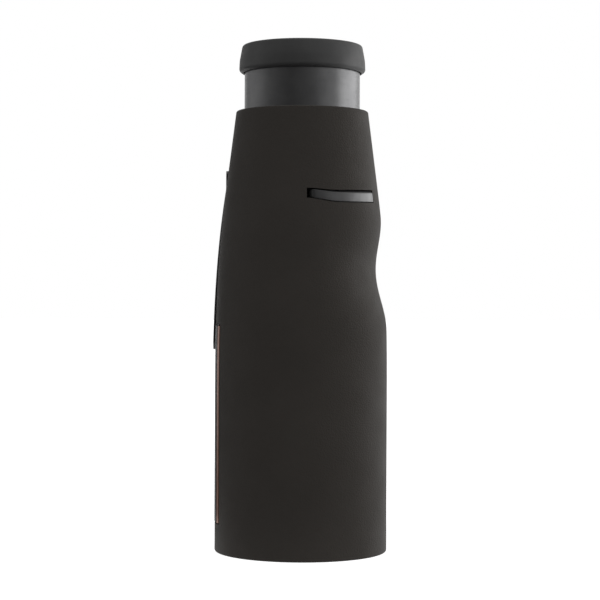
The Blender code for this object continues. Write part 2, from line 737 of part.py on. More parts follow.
def make_rear_cover(tools):
    cover = plug("rear_cover", body_levels(COVER_Z, COVER_TOP_Z), steady(CHASSIS_INSET), "dark_polymer")
    cut(cover, tools["eyecup"])
    through = (COVER_Z - OVERRUN, COVER_TOP_Z + OVERRUN)
    cut(cover, cylinder("barrel_space", BARREL_RADIUS + GAP, *through, VIEW_AXIS, steps=ROUND))
    recess_floor = CAP_HEAD_Z - GAP
    cap_space = [
        (0.0, through[1]),
        (CAP_RADIUS + GAP, through[1]),
        (CAP_RADIUS + GAP, recess_floor),
        (CAP_SKIRT_RADIUS + GAP, recess_floor),
        (CAP_SKIRT_RADIUS + GAP, CAP_FOOT_Z - GAP),
        (BATTERY_BORE, CAP_FOOT_Z - GAP),
        (BATTERY_BORE, through[0]),
        (0.0, through[0]),
    ]
    cut(cover, turned("cap_space", cap_space, BATTERY_AXIS, steps=FINE_ROUND))
    cut(cover, tools["clip_near"], tools["clip_far"])
    for place, x, y in rear_screw_places():
        cut(cover, tools["rear_" + place])
        screw("rear_screw_" + place, REAR_SCREW_LENGTH, (x, y, COVER_TOP_Z - GAP), (0, 0, 0))


def make_side_panel():
    """The inlay in the left flank, and the copper-coloured border that frames it."""
    half = TRIM_WIDTH / 2
    trim = panel_patch("side_trim", half, 0.0, 0.0, PANEL_THICKNESS, "copper_metal")
    cut(trim, panel_patch("trim_window", -half, TRIM_WIDTH, -OVERRUN, PANEL_THICKNESS + OVERRUN, "copper_metal"))
    inside = TRIM_WIDTH + GAP
    panel_patch("side_panel", -half - GAP, inside, PANEL_DROP, PANEL_THICKNESS, "dark_polymer")


def make_strap_bar():
    """Metal strip that follows the rounded corner, with a leg into the body at each end."""
    finish = "anodised_metal"
    bar = shell("lanyard_bar", arc(-1, *BAR_ANGLES, 8), BAR_Z, steady(0.0), steady(BAR_THICKNESS), finish)
    first, last = BAR_ANGLES
    for label, angles in (("first", (first, first + BAR_LEG_ANGLE)), ("last", (last - BAR_LEG_ANGLE, last))):
        leg = shell("bar_leg_" + label, arc(-1, *angles, 1), BAR_Z, steady(BAR_THICKNESS / 2), steady(CHASSIS_INNER), finish)
        join(bar, leg)
    seat = CHASSIS_INNER + GAP
    levels = (SLOT_Z[0] - ANCHOR_MARGIN, SLOT_Z[1] + ANCHOR_MARGIN - GAP)
    wide = arc(-1, *ANCHOR_ANGLES, 8)
    shell("lanyard_anchor", wide, levels, steady(seat), steady(seat + ANCHOR_THICKNESS), "dark_polymer")


def make_pocket_clip():
    """Spring strip that lies along the flank, held at its upright root."""
    low, high = CLIP_Z
    heights = [low + (CLIP_BEND_Z - low) * i / 7 for i in range(8)]
    inner = [(-half_width(z) - GAP - CLIP_FLARE * (CLIP_BEND_Z - z) / (CLIP_BEND_Z - low), z) for z in heights]
    inner.append((CLIP_INNER_X, high))
    outline = inner + [(x - CLIP_THICKNESS, z) for x, z in reversed(inner)]
    clip = extruded("pocket_clip", outline, 2 * CLIP_HALF_WIDTH, PLANE_XZ, (0.0, 0.0, 0.0), "black_metal")
    outer_x = CLIP_INNER_X - CLIP_THICKNESS
    for end, y in clip_screw_places():
        at = (outer_x, y, CLIP_PIVOT_Z)
        hole = cylinder("clip_hole_" + end, CLIP_HOLE_RADIUS, -2 * OVERRUN, OVERRUN, at, rotation=POINT_LEFT)
        cut(clip, hole)
        screw("clip_screw_" + end, CLIP_SCREW_LENGTH, at, POINT_LEFT)
    hinge = bpy.data.objects.new("clip_hinge", None)
    hinge.location = (CLIP_INNER_X, 0.0, CLIP_PIVOT_Z)
    PARTS.objects.link(hinge)
    clip.parent = hinge
    clip.matrix_parent_inverse = Matrix.Translation(hinge.location).inverted()


# ---------------------------------------------------------------- viewing optics


def make_objective():
    bore = OBJECTIVE_RADIUS + GAP
    outer = bore + OBJECTIVE_WALL
    narrow = bore - OBJECTIVE_STEP
    step_z = CELL_Z + OBJECTIVE_SEAT_DEPTH
    top_z = CELL_Z + OBJECTIVE_CELL_LENGTH
    profile = [(outer, top_z), (outer, CELL_Z), (bore, CELL_Z), (bore, step_z), (narrow, step_z), (narrow, top_z)]
    turned("objective_cell", profile, VIEW_AXIS, "black_metal", MEDIUM_ROUND)
    rear_low = step_z - GAP - REAR_LENS_EDGE
    lens("objective_rear_lens", OBJECTIVE_RADIUS, rear_low, REAR_LENS_EDGE, 0.0, REAR_LENS_BULGE, VIEW_AXIS)
    front_low = rear_low - GAP - FRONT_LENS_EDGE
    lens("objective_front_lens", OBJECTIVE_RADIUS, front_low, FRONT_LENS_EDGE, FRONT_LENS_BULGE, 0.0, VIEW_AXIS)
    ring_high = front_low - GAP
    inner = OBJECTIVE_RADIUS - LENS_RING_WALL
    ring("objective_ring", OBJECTIVE_RADIUS, inner, CELL_Z, ring_high, VIEW_AXIS, "black_metal", MEDIUM_ROUND)
    tunnel_z = (top_z + GAP, PRISM_BLOCK_Z - GAP)
    ring("light_tunnel", TUNNEL_RADIUS, TUNNEL_RADIUS - TUNNEL_WALL, *tunnel_z, VIEW_AXIS, "dark_polymer")


def make_prism_group():
    """Open-sided holder with two prisms that face each other across a slanted air gap."""
    low = (-PRISM_BLOCK_HALF_X, BLOCK_FOOT_Y, PRISM_BLOCK_Z)
    high = (PRISM_BLOCK_HALF_X, BLOCK_TOP_Y, BLOCK_TOP_Z)
    holder = block("prism_holder", low, high, "black_metal")
    wall = PRISM_WALL
    inside_low = (low[0] - OVERRUN, low[1] + wall, low[2] + wall)
    inside_high = (high[0] + OVERRUN, high[1] - wall, high[2] - wall)
    cut(holder, block("prism_space", inside_low, inside_high))
    window_z = (PRISM_BLOCK_Z - OVERRUN, BLOCK_TOP_Z + OVERRUN)
    cut(holder, cylinder("prism_windows", PRISM_WINDOW_RADIUS, *window_z, VIEW_AXIS))
    for label, side, z in (("lower", -1, BOARD_SCREW_Z[0]), ("upper", 1, BOARD_SCREW_Z[1])):
        seat = (side * BOARD_SCREW_X, MAIN_BOARD_TOP_Y + GAP, z)
        length = BLOCK_FOOT_Y + wall / 2 - seat[1]
        post = cylinder("board_post_" + label, BOSS_HALF, -length, 0.0, seat, rotation=POINT_NEAR, steps=12)
        join(holder, post)
        depth = BOARD_SCREW_LENGTH - BOARD_THICKNESS
        cut(holder, screw_hole("board_post_hole_" + label, depth, seat, POINT_NEAR))
    foot_y = inside_low[1] + GAP
    top_y = inside_high[1] - GAP
    foot_z = inside_low[2] + GAP
    top_z = inside_high[2] - GAP
    rise = PRISM_SPLIT_SLOPE * (top_y - foot_y)
    split = (foot_z + top_z - rise) / 2
    front = [(foot_y, foot_z), (top_y, foot_z), (top_y, split), (foot_y, split + rise)]
    rear = [(foot_y, split + rise + GAP), (top_y, split + GAP), (top_y, top_z), (foot_y, top_z)]
    for name, outline in (("prism_front", front), ("prism_rear", rear)):
        extruded(name, outline, 2 * PRISM_HALF_X, PLANE_YZ, (0.0, 0.0, 0.0), "glass")


def make_eyepiece():
    foot_z = BLOCK_TOP_Z + GAP
    collar_high = COVER_Z - GAP
    collar_low = collar_high - BARREL_COLLAR_HEIGHT
    collar = BARREL_RADIUS + BARREL_COLLAR
    barrel = [
        (BARREL_RADIUS, BARREL_TOP_Z),
        (BARREL_RADIUS, collar_high),
        (collar, collar_high),
        (collar, collar_low),
        (BARREL_RADIUS, collar_low),
        (BARREL_RADIUS, foot_z),
        (BARREL_BORE, foot_z),
        (BARREL_BORE, BARREL_TOP_Z),
    ]
    turned("eyepiece_barrel", barrel, VIEW_AXIS, "black_metal", MEDIUM_ROUND)
    disc_high = DISPLAY_Z + DISPLAY_THICKNESS
    cylinder("reticle_display", BARREL_BORE - GAP, DISPLAY_Z, disc_high, VIEW_AXIS, "glass", MEDIUM_ROUND)
    top_z = OCULAR_Z + OCULAR_LENGTH
    ring("ocular_cell", OCULAR_RADIUS, OCULAR_BORE, OCULAR_Z, top_z, VIEW_AXIS, "black_metal", MEDIUM_ROUND)
    radius = OCULAR_BORE - GAP
    lens("field_lens", radius, OCULAR_Z + FIELD_LENS_EDGE, FIELD_LENS_EDGE, 0.0, EYE_LENS_BULGE, VIEW_AXIS)
    eye_low = top_z - EYE_LENS_RECESS - EYE_LENS_EDGE
    lens("eye_lens", radius, eye_low, EYE_LENS_EDGE, EYE_LENS_BULGE, EYE_LENS_BULGE, VIEW_AXIS)


def make_diopter_ring():
    low = BARREL_TOP_Z + GAP
    high = low + DIOPTER_HEIGHT
    dial = ring("diopter_ring", DIOPTER_RADIUS, DIOPTER_BORE, low, high, VIEW_AXIS, "dark_polymer", DIOPTER_RIDGES)
    for i in range(0, DIOPTER_RIDGES, 4):
        angle = 2 * math.pi * i / DIOPTER_RIDGES
        at = (DIOPTER_RADIUS * math.cos(angle), VIEW_Y + DIOPTER_RADIUS * math.sin(angle), 0.0)
        notch = cylinder(f"diopter_notch_{i}", 2 * DIOPTER_RIDGE_DEPTH, low - GAP, high + GAP, at, steps=8)
        cut(dial, notch)


def make_eyecup():
    sleeve_top = EYECUP_TOP_Z - EYECUP_SHELF - GAP
    steps = FINE_ROUND
    ring("eyecup_sleeve", TUBE_RADIUS, TUBE_BORE, TUBE_FOOT_Z, sleeve_top, VIEW_AXIS, "anodised_metal", steps)
    ring_low = TUBE_FOOT_Z + GAP
    outer = TUBE_BORE - GAP
    inner = BARREL_RADIUS + GAP
    ring_high = ring_low + GUIDE_RING_HEIGHT
    ring("eyecup_guide_ring", outer, inner, ring_low, ring_high, VIEW_AXIS, "brass", MEDIUM_ROUND)
    seat = TUBE_RADIUS + GAP
    shelf_z = EYECUP_TOP_Z - EYECUP_SHELF
    edge = EYECUP_RIM_EDGE
    rubber = [
        (EYECUP_RIM_RADIUS - edge, EYECUP_TOP_Z),
        (EYECUP_RIM_RADIUS - edge * 0.3, EYECUP_TOP_Z - edge * 0.3),
        (EYECUP_RIM_RADIUS, EYECUP_TOP_Z - edge),
        (EYECUP_RADIUS - edge * 0.1, EYECUP_LIP_Z + 3.6 * edge),
        (EYECUP_RADIUS, EYECUP_LIP_Z + 1.8 * edge),
        (EYECUP_RADIUS - edge * 0.3, EYECUP_LIP_Z + edge * 0.4),
        (seat + edge * 0.2, EYECUP_LIP_Z),
        (seat, EYECUP_LIP_Z + edge * 0.2),
        (seat, shelf_z),
        (EYECUP_MOUTH_RADIUS, shelf_z),
        (EYECUP_MOUTH_RADIUS, EYECUP_TOP_Z - edge * 0.6),
        (EYECUP_MOUTH_RADIUS + edge * 0.6, EYECUP_TOP_Z),
    ]
    turned("eyecup_rubber", rubber, VIEW_AXIS, "eyecup_rubber", steps)


# ---------------------------------------------------------------- receiver and emitter


def make_receiver():
    bore = RECEIVER_RADIUS + GAP
    outer = bore + RECEIVER_WALL
    barrel_z = CELL_Z + RECEIVER_BARREL_LENGTH
    top_z = CELL_Z + RECEIVER_CELL_LENGTH
    tip = RECEIVER_TIP_RADIUS
    profile = [
        (tip, top_z),
        (outer, barrel_z),
        (outer, CELL_Z),
        (bore, CELL_Z),
        (bore, barrel_z - RECEIVER_WALL),
        (tip - RECEIVER_WALL, top_z - 2 * RECEIVER_WALL),
        (tip - RECEIVER_WALL, top_z),
    ]
    turned("receiver_cell", profile, RECEIVER_AXIS, "black_metal", MEDIUM_ROUND)
    ring_high = CELL_Z + LENS_RING_HEIGHT
    inner = RECEIVER_RADIUS - LENS_RING_WALL
    ring("receiver_ring", RECEIVER_RADIUS, inner, CELL_Z, ring_high, RECEIVER_AXIS, "black_metal", MEDIUM_ROUND)
    lens_low = ring_high + GAP
    lens("receiver_lens", RECEIVER_RADIUS, lens_low, FRONT_LENS_EDGE, FRONT_LENS_BULGE, REAR_LENS_BULGE, RECEIVER_AXIS)
    sensor_low = top_z + GAP
    sensor_high = sensor_low + SENSOR_HEIGHT
    can = SENSOR_RADIUS - SENSOR_FLANGE
    sensor = [
        (0.0, sensor_high),
        (SENSOR_RADIUS, sensor_high),
        (SENSOR_RADIUS, sensor_high - SENSOR_FLANGE),
        (can, sensor_high - SENSOR_FLANGE),
        (can, sensor_low),
        (0.0, sensor_low),
    ]
    turned("receiver_sensor", sensor, RECEIVER_AXIS, "brass", 16)
    board_low = sensor_high + GAP
    low = (-RECEIVER_BOARD_HALF_X, RECEIVER_Y - RECEIVER_BOARD_DROP, board_low)
    high = (RECEIVER_BOARD_HALF_X, MAIN_BOARD_Y - GAP, board_low + BOARD_THICKNESS)
    block("receiver_board", low, high, "board")


def make_emitter():
    bore = EMITTER_RADIUS - EMITTER_WALL
    top_z = CELL_Z + EMITTER_LENGTH
    ring("emitter_cell", EMITTER_RADIUS, bore, CELL_Z, top_z, EMITTER_AXIS, "brass", 16)
    low = CELL_Z + EMITTER_LENS_EDGE
    lens("emitter_lens", bore - GAP, low, EMITTER_LENS_EDGE, EMITTER_LENS_EDGE / 3, 0.0, EMITTER_AXIS)
    diode_low = top_z + GAP
    cylinder("laser_diode", EMITTER_RADIUS, diode_low, diode_low + DIODE_LENGTH, EMITTER_AXIS, "steel", 16)


# ---------------------------------------------------------------- boards, buttons, battery


def make_main_board():
    low = (-MAIN_BOARD_HALF_X, MAIN_BOARD_Y, MAIN_BOARD_Z)
    high = (MAIN_BOARD_HALF_X, MAIN_BOARD_TOP_Y, REAR_BOSS_Z[0] - GAP)
    board = block("main_board", low, high, "board")
    for i, (width, z, height) in enumerate(CHIP_SIZES):
        chip_low = (-width / 2, MAIN_BOARD_Y - CHIP_HEIGHT, z)
        chip_high = (width / 2, MAIN_BOARD_Y + BOARD_THICKNESS / 2, z + height)
        join(board, block(f"chip_{i}", chip_low, chip_high))
    for label, side, z in (("lower", -1, BOARD_SCREW_Z[0]), ("upper", 1, BOARD_SCREW_Z[1])):
        at = (side * BOARD_SCREW_X, MAIN_BOARD_Y, z)
        cut(board, screw_hole("board_hole_" + label, BOARD_THICKNESS + OVERRUN, at, POINT_NEAR))
        head_at = (at[0], at[1] - GAP - SCREW_HEAD_HEIGHT, at[2])
        screw("board_screw_" + label, BOARD_SCREW_LENGTH - GAP, head_at, POINT_NEAR)


def make_button(name, radius, z):
    """Push button with a domed head and, inside the body, the flange that keeps it from falling out."""
    foot = BUTTON_FOOT_Y
    flange_high = foot + BUTTON_FLANGE
    surface = half_height(z)
    shoulder = surface + BUTTON_PROUD - BUTTON_DOME
    flange = radius + BUTTON_FLANGE
    profile = [
        (0.0, surface + BUTTON_PROUD),
        (radius * 0.6, surface + BUTTON_PROUD - BUTTON_DOME * 0.35),
        (radius, shoulder),
        (radius, flange_high),
        (flange, flange_high),
        (flange, foot),
        (0.0, foot),
    ]
    turned(name, profile, (0.0, 0.0, z), "button_rubber", MEDIUM_ROUND, POINT_FAR)


def make_controls():
    low = (-BUTTON_BOARD_HALF_X, BUTTON_BOARD_Y, BUTTON_BOARD_Z[0])
    high = (BUTTON_BOARD_HALF_X, BUTTON_BOARD_Y + BUTTON_BOARD_THICKNESS, BUTTON_BOARD_Z[1])
    block("button_board", low, high, "board")
    for name, radius, z in (("range", RANGE_BUTTON_RADIUS, RANGE_BUTTON_Z), ("mode", MODE_BUTTON_RADIUS, MODE_BUTTON_Z)):
        low = (-SWITCH_HALF, SWITCH_Y, z - SWITCH_HALF)
        high = (SWITCH_HALF, SWITCH_Y + SWITCH_HEIGHT, z + SWITCH_HALF)
        block(name + "_switch", low, high, "dark_polymer")
        make_button(name + "_button", radius, z)


def make_battery():
    pip_z = BATTERY_TOP_Z - BATTERY_PIP_HEIGHT
    profile = [
        (0.0, BATTERY_TOP_Z),
        (BATTERY_PIP_RADIUS, BATTERY_TOP_Z),
        (BATTERY_PIP_RADIUS, pip_z),
        (BATTERY_RADIUS, pip_z),
        (BATTERY_RADIUS, BATTERY_Z),
        (0.0, BATTERY_Z),
    ]
    turned("battery", profile, BATTERY_AXIS, "battery_label", MEDIUM_ROUND)
    tube_top = COVER_Z - GAP
    floor_high = TUBE_FLOOR_Z + TUBE_FLOOR
    tube = [
        (BATTERY_TUBE_RADIUS, tube_top),
        (BATTERY_TUBE_RADIUS, TUBE_FLOOR_Z),
        (BATTERY_PIP_RADIUS, TUBE_FLOOR_Z),
        (BATTERY_PIP_RADIUS, floor_high),
        (BATTERY_BORE, floor_high),
        (BATTERY_BORE, tube_top),
    ]
    turned("battery_tube", tube, BATTERY_AXIS, "dark_polymer", MEDIUM_ROUND)
    contact_high = CONTACT_Z + CONTACT_THICKNESS
    cylinder("battery_contact", CONTACT_RADIUS, CONTACT_Z, contact_high, BATTERY_AXIS, "brass")


def make_battery_spring():
    """Conical coil between the lower contact and the battery."""
    curve = bpy.data.curves.new("battery_spring", "CURVE")
    curve.dimensions = "3D"
    curve.bevel_depth = SPRING_WIRE / 2
    curve.bevel_resolution = 1
    curve.use_fill_caps = True
    spline = curve.splines.new("POLY")
    points = round(SPRING_TURNS * 10)
    spline.points.add(points)
    low = SPRING_Z + SPRING_WIRE / 2
    rise = SPRING_HEIGHT - SPRING_WIRE
    for i, point in enumerate(spline.points):
        share = i / points
        angle = 2 * math.pi * SPRING_TURNS * share
        radius = CONTACT_RADIUS - SPRING_WIRE - (CONTACT_RADIUS - BATTERY_PIP_RADIUS) * share
        point.co = (radius * math.cos(angle), radius * math.sin(angle), low + rise * share, 1.0)
    obj = bpy.data.objects.new("battery_spring", curve)
    obj.location = BATTERY_AXIS
    PARTS.objects.link(obj)
    set_finish(obj, "steel")


def make_battery_cap():
    seal_z = CAP_HEAD_Z - SEAL_Z_BELOW_HEAD
    groove_half = SEAL_WIRE / 2 + GAP
    groove_radius = CAP_SKIRT_RADIUS - SEAL_GROOVE_DEPTH
    profile = [
        (0.0, CAP_TOP_Z),
        (CAP_RADIUS - GAP, CAP_TOP_Z),
        (CAP_RADIUS, CAP_TOP_Z - GAP),
        (CAP_RADIUS, CAP_HEAD_Z),
        (CAP_SKIRT_RADIUS, CAP_HEAD_Z),
        (CAP_SKIRT_RADIUS, seal_z + groove_half),
        (groove_radius, seal_z + groove_half),
        (groove_radius, seal_z - groove_half),
        (CAP_SKIRT_RADIUS, seal_z - groove_half),
        (CAP_SKIRT_RADIUS, CAP_FOOT_Z),
        (0.0, CAP_FOOT_Z),
    ]
    cap = turned("battery_cap", profile, BATTERY_AXIS, "black_metal", FINE_ROUND)
    half_length = CAP_SLOT_LENGTH / 2
    half_slot = CAP_SLOT_WIDTH / 2
    low = (-half_length, BATTERY_Y - half_slot, CAP_TOP_Z - CAP_SLOT_DEPTH)
    high = (half_length, BATTERY_Y + half_slot, CAP_TOP_Z + OVERRUN)
    cut(cap, block("coin_slot", low, high))
    cylinder("cap_contact", CONTACT_RADIUS, CAP_CONTACT_Z, CAP_CONTACT_TOP_Z, BATTERY_AXIS, "brass")
    middle = groove_radius + GAP + SEAL_WIRE / 2
    section = [
        (middle + SEAL_WIRE / 2 * math.cos(angle), seal_z - SEAL_WIRE / 2 * math.sin(angle))
        for angle in (2 * math.pi * i / 8 for i in range(8))
    ]
    turned("cap_seal", section, BATTERY_AXIS, "eyecup_rubber", MEDIUM_ROUND)


def build():
    tools = make_shared_tools()
    make_armor(tools)
    make_chassis(-1, "chassis_left", tools)
    make_chassis(1, "chassis_right", tools)
    make_front_bezel()
    make_rear_cover(tools)
    make_side_panel()
    make_strap_bar()
    make_pocket_clip()
    make_objective()
    make_prism_group()
    make_eyepiece()
    make_diopter_ring()
    make_eyecup()
    make_receiver()
    make_emitter()
    make_main_board()
    make_controls()
    make_battery()
    make_battery_spring()
    make_battery_cap()


clear_scene()
PARTS = new_collection("laser_rangefinder")
TOOLS = new_collection("cutters")
build()
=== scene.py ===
"""Laser rangefinder, dressed for rendering: it stands on its front end with the eyecup up.

Metres, in the frame of the CAD part. +Z runs from the front windows to the eyecup, +X is the flank
with the finger groove, -X the one with the clip, and +Y the narrow side with the two buttons.
"""

import json
import math

import bmesh
import bpy
from mathutils import Matrix, Vector


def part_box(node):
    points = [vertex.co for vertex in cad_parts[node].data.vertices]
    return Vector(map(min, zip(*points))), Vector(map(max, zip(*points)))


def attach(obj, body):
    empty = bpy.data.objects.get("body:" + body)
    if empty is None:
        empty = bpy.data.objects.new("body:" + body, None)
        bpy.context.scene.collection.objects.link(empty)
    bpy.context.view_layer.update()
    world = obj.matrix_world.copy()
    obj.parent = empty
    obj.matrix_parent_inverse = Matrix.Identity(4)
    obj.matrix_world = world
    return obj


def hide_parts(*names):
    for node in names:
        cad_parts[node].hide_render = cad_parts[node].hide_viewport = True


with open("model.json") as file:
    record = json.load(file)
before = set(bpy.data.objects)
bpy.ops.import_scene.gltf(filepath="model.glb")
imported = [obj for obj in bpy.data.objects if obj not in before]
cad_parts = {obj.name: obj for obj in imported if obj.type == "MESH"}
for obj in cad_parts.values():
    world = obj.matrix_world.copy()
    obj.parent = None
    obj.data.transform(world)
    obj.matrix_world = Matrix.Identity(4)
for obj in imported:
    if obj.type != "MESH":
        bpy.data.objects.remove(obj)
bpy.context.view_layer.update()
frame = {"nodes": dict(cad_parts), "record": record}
NODES = frame["nodes"]
RECORD = frame["record"]
BODY_OF = {node: body for body, nodes in RECORD["behaviour"]["bodies"].items() for node in nodes}
SLOT_OF = {part["node"]: part["material_slot"] for part in RECORD["subparts"]}


def box_radius(node):
    low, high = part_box(node)
    return (high.x - low.x) / 2


def upright_axis(node):
    """Point on the axis along Z through the middle of a node's box."""
    low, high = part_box(node)
    return Vector((0.0, (low.y + high.y) / 2, 0.0))


# Body: the section of the CAD armour, repeated with finer steps and a little closer to the real outline
BODY_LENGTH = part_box("armor")[1].z
HALF_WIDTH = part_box("armor")[1].x
HALF_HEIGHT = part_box("armor")[1].y
TAPER_START_Z = 0.030
TAPER_FULL_Z = 0.078
TAPER_SLOPE = 0.130
HEIGHT_TAPER_SHARE = 0.55
ARMOR_WALL = 0.0014
FRONT_EDGE = 0.0004
REAR_EDGE = 0.0003
GROOVE_Z = 0.0613
GROOVE_LENGTH = 0.0256
GROOVE_DEPTH = 0.0020
GROOVE_FADE = 0.2
GAP = 0.0003
FACE_INSET = ARMOR_WALL + GAP
OVERRUN = 0.001  # by which cutters reach past what they cut

# Axes along Z
VIEW_AXIS = upright_axis("eyecup_sleeve")
NEAR_AXIS = Vector((0.0, HALF_WIDTH - HALF_HEIGHT, 0.0))
EMITTER_AXIS = upright_axis("emitter_cell")

# Strap bar and its slot, round the near corner
SLOT_MARGIN = 0.00012  # above and under the bar
SLOT_ANGLES = (273.5, 335.3)
BAR_ANGLES = (275.2, 334.8)
# Angle round the corner, then heights: lower edge, upper edge of the face, top
BAR_STATIONS = (
    (273.5, 0.07715, 0.07885, 0.07900),
    (277.7, 0.07703, 0.07880, 0.07897),
    (287.2, 0.07656, 0.07845, 0.07875),
    (294.8, 0.07631, 0.07827, 0.07864),
    (307.7, 0.07633, 0.07823, 0.07879),
    (336.0, 0.07662, 0.07855, 0.07908),
)
BAR_BLEND_ANGLE = 2.5
BAR_BEVEL_DEPTH = 0.0005
BAR_EASE = 0.0002
BAR_THICKNESS = 0.0010
BAR_TURN_ANGLE = 279.2  # from here the face turns in towards the first end
BAR_TURN_DEPTH = 0.0011
BAR_LEG_ANGLE = 5.0
BAR_LEG_DEPTH = 0.0022

# Clip and the pad under its root, on the left flank
CLIP_Z = (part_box("pocket_clip")[0].z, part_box("pocket_clip")[1].z)
CLIP_BEND_Z = 0.0806
CLIP_SCREW_Z = (CLIP_BEND_Z + CLIP_Z[1]) / 2
CLIP_SCREW_Y = 0.0035
CLIP_HALF_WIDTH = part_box("pocket_clip")[1].y
CLIP_THICKNESS = 0.0005
CLIP_AIR = 0.0002
CLIP_FLARE = 0.0005  # added to the air at the free end
CLIP_HOLE_RADIUS = 0.00175
CLIP_TOP_DROP = 0.00048
CLIP_TOP_Z = CLIP_Z[1] - CLIP_TOP_DROP
CLIP_TIP_ROUND = 0.0030
CLIP_ROOT_ROUND = 0.0012
CLIP_EASE = 0.00016
CLIP_HEAD_SINK = 0.00025
CLIP_HOLE_DEPTH = 0.004
CLIP_WELL_DEPTH = 0.0045
PAD_FACE_TOP_Z = 0.0851
PAD_TOP_Z = 0.0859
PAD_LEAN = 0.0004  # of the face above the clip's bend, so that the clip's root can tip in
PAD_DEPTH = 0.7 * ARMOR_WALL
PAD_HALF_WIDTH = 0.0075
PAD_FADE_Y = 0.0165

# Inlaid panel and its border, on the same flank
PANEL_Z = (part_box("side_trim")[0].z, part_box("side_trim")[1].z)
PANEL_ANGLE = 17.6
TRIM_WIDTH = 0.0014
PANEL_THICKNESS = 0.0006
PANEL_SEAM = 0.0007
PANEL_LIFT = 0.00007

# Screws
SCREW_HEAD_RADIUS = 0.0016
SCREW_HEAD_HEIGHT = 0.0011
SCREW_SHANK_RADIUS = 0.0008
SCREW_WELL_DEPTH = 0.0012
SCREW_WELL_FLARE = 0.0002
DRIVE_RADIUS = 0.0007
DRIVE_DEPTH = 0.0006
DRIVE_POINT_DEPTH = 0.0008
DRIVE_LOBES = 6
DRIVE_LOBE_HEIGHT = 0.00012

# Front plate
PLATE_EDGE = 0.00015
WINDOW_FLARE = 0.0005
EMITTER_WINDOW_RADIUS = 0.0022
EMITTER_WALL = 0.0004
RETAINER_WALL = 0.0009
NOTCH_REACH = (0.0012, 0.0006)  # inwards and outwards from the retainer's rim
NOTCH_HALF_WIDTH = 0.0006
NOTCH_DEPTH = 0.0006
NOTCH_OVERRUN = 0.0002

# Rear cover and battery cap
COVER_FLARE = 0.0004
COVER_BORE_RADIUS = 0.0119
COVER_FLOOR = 0.0025
CAP_HEAD_HEIGHT = 0.0019
CAP_SEAT_RADIUS = 0.0096
CAP_SEAT_Z = 0.0897
BATTERY_BORE_RADIUS = 0.0082
CAP_OVERHANG = 0.0009
CAP_DISH = 0.0001
CAP_KNURLS = 54
CAP_KNURL_DEPTH = 0.00022
COIN_SLOT = (0.0075, 0.0009, 0.001)  # half length, half width, depth

# Eyepiece
SLEEVE_WALL = 0.0008
EYECUP_MOUTH_RADIUS = 0.0123
DIOPTER_BORE_RADIUS = 0.0088
DIOPTER_FLARE = 0.0006
DIOPTER_KNURLS = 60
DIOPTER_KNURL_DEPTH = 0.00018
TICK_ANGLE = 12
TICK_HALF_WIDTH = 0.00009
TICK_DEPTH = 0.0001
TICK_START = 0.0008  # past the bore
TICK_LENGTH = 0.0008
MIDDLE_TICK_LENGTH = 0.0014
OCULAR_WALL = 0.0009
OCULAR_STEP = 0.0004
OCULAR_STEP_DEPTH = 0.0012

# Buttons
BUTTON_RADIUS = {"range_button": 0.0048, "mode_button": 0.0036}
BUTTON_FLANGE = 0.0007
COLLAR_GAP = 2.2 * GAP
COLLAR_WIDTH = 0.00045
COLLAR_HEIGHT = 0.0004
PIP_STEP = 0.0009

# Studio. Azimuth 0 is the camera's side and 90 is +X
FLOOR_AIR = 0.00005
FLOOR_RADIUS = 4.0
FLOOR_PAINT = (0.85, 0.85, 0.85)
FLOOR_GLOW = 0.75
AMBIENT = 0.60
CURTAIN_AZIMUTHS = (-150.0, 84.0)
CURTAIN_DARKEST = -20.0
CURTAIN_LEVELS = (0.10, 0.46)
CURTAIN_RADIUS = 2.0
CURTAIN_HEIGHT = 3.0
MAT_INNER_RADIUS = 0.045
CANOPY_RADIUS = 0.3
MAT_Z = 0.0005
# Name, azimuth, elevation, distance, width, height and power of each soft panel
PANELS = (
    ("key_panel", 106.0, 2.0, 1.2, 1.3, 0.8, 10.0),
    ("fill_panel", 52.0, 3.0, 1.3, 0.8, 0.8, 1.4),
    ("left_panel", -105.0, 2.0, 1.4, 1.3, 0.8, 1.5),
    ("top_panel", 20.0, 80.0, 1.3, 1.0, 1.0, 4.0),
)
CAMERA_PLACE = (-0.00032, -0.4059, 0.0558)
CAMERA_LENS = 105.0  # on a 36 mm sensor
CAMERA_DIP = 0.069
CAMERA_ROLL = 0.25

# Fineness
ARC_STEPS = 44
TURN_STEPS = 96
SHARP_ANGLE = 32.0


# ---------------------------------------------------------------- materials


def new_material(name, colour, roughness, metallic=0.0, specular=0.5):
    material = bpy.data.materials.new(name)
    material.use_nodes = True
    shader = material.node_tree.nodes["Principled BSDF"]
    shader.inputs["Base Color"].default_value = (*colour, 1.0)
    shader.inputs["Roughness"].default_value = roughness
    shader.inputs["Metallic"].default_value = metallic
    shader.inputs["Specular IOR Level"].default_value = specular
    return material, material.node_tree, shader


def object_space(tree, stretch=(1, 1, 1)):
    coordinates = tree.nodes.new("ShaderNodeTexCoord")
    mapping = tree.nodes.new("ShaderNodeMapping")
    mapping.inputs["Scale"].default_value = stretch
    tree.links.new(coordinates.outputs["Object"], mapping.inputs["Vector"])
    return mapping.outputs["Vector"]


def noise(tree, size, detail=3.0, stretch=(1, 1, 1)):
    """Cloudy pattern whose blotches are about size metres across."""
    texture = tree.nodes.new("ShaderNodeTexNoise")
    texture.inputs["Scale"].default_value = 1 / size
    texture.inputs["Detail"].default_value = detail
    tree.links.new(object_space(tree, stretch), texture.inputs["Vector"])
    return texture.outputs["Fac"]


def pebbles(tree, size):
    """Round grains about size metres across."""
    texture = tree.nodes.new("ShaderNodeTexVoronoi")
    texture.feature = "SMOOTH_F1"
    texture.inputs["Scale"].default_value = 1 / size
    tree.links.new(object_space(tree), texture.inputs["Vector"])
    return texture.outputs["Distance"]


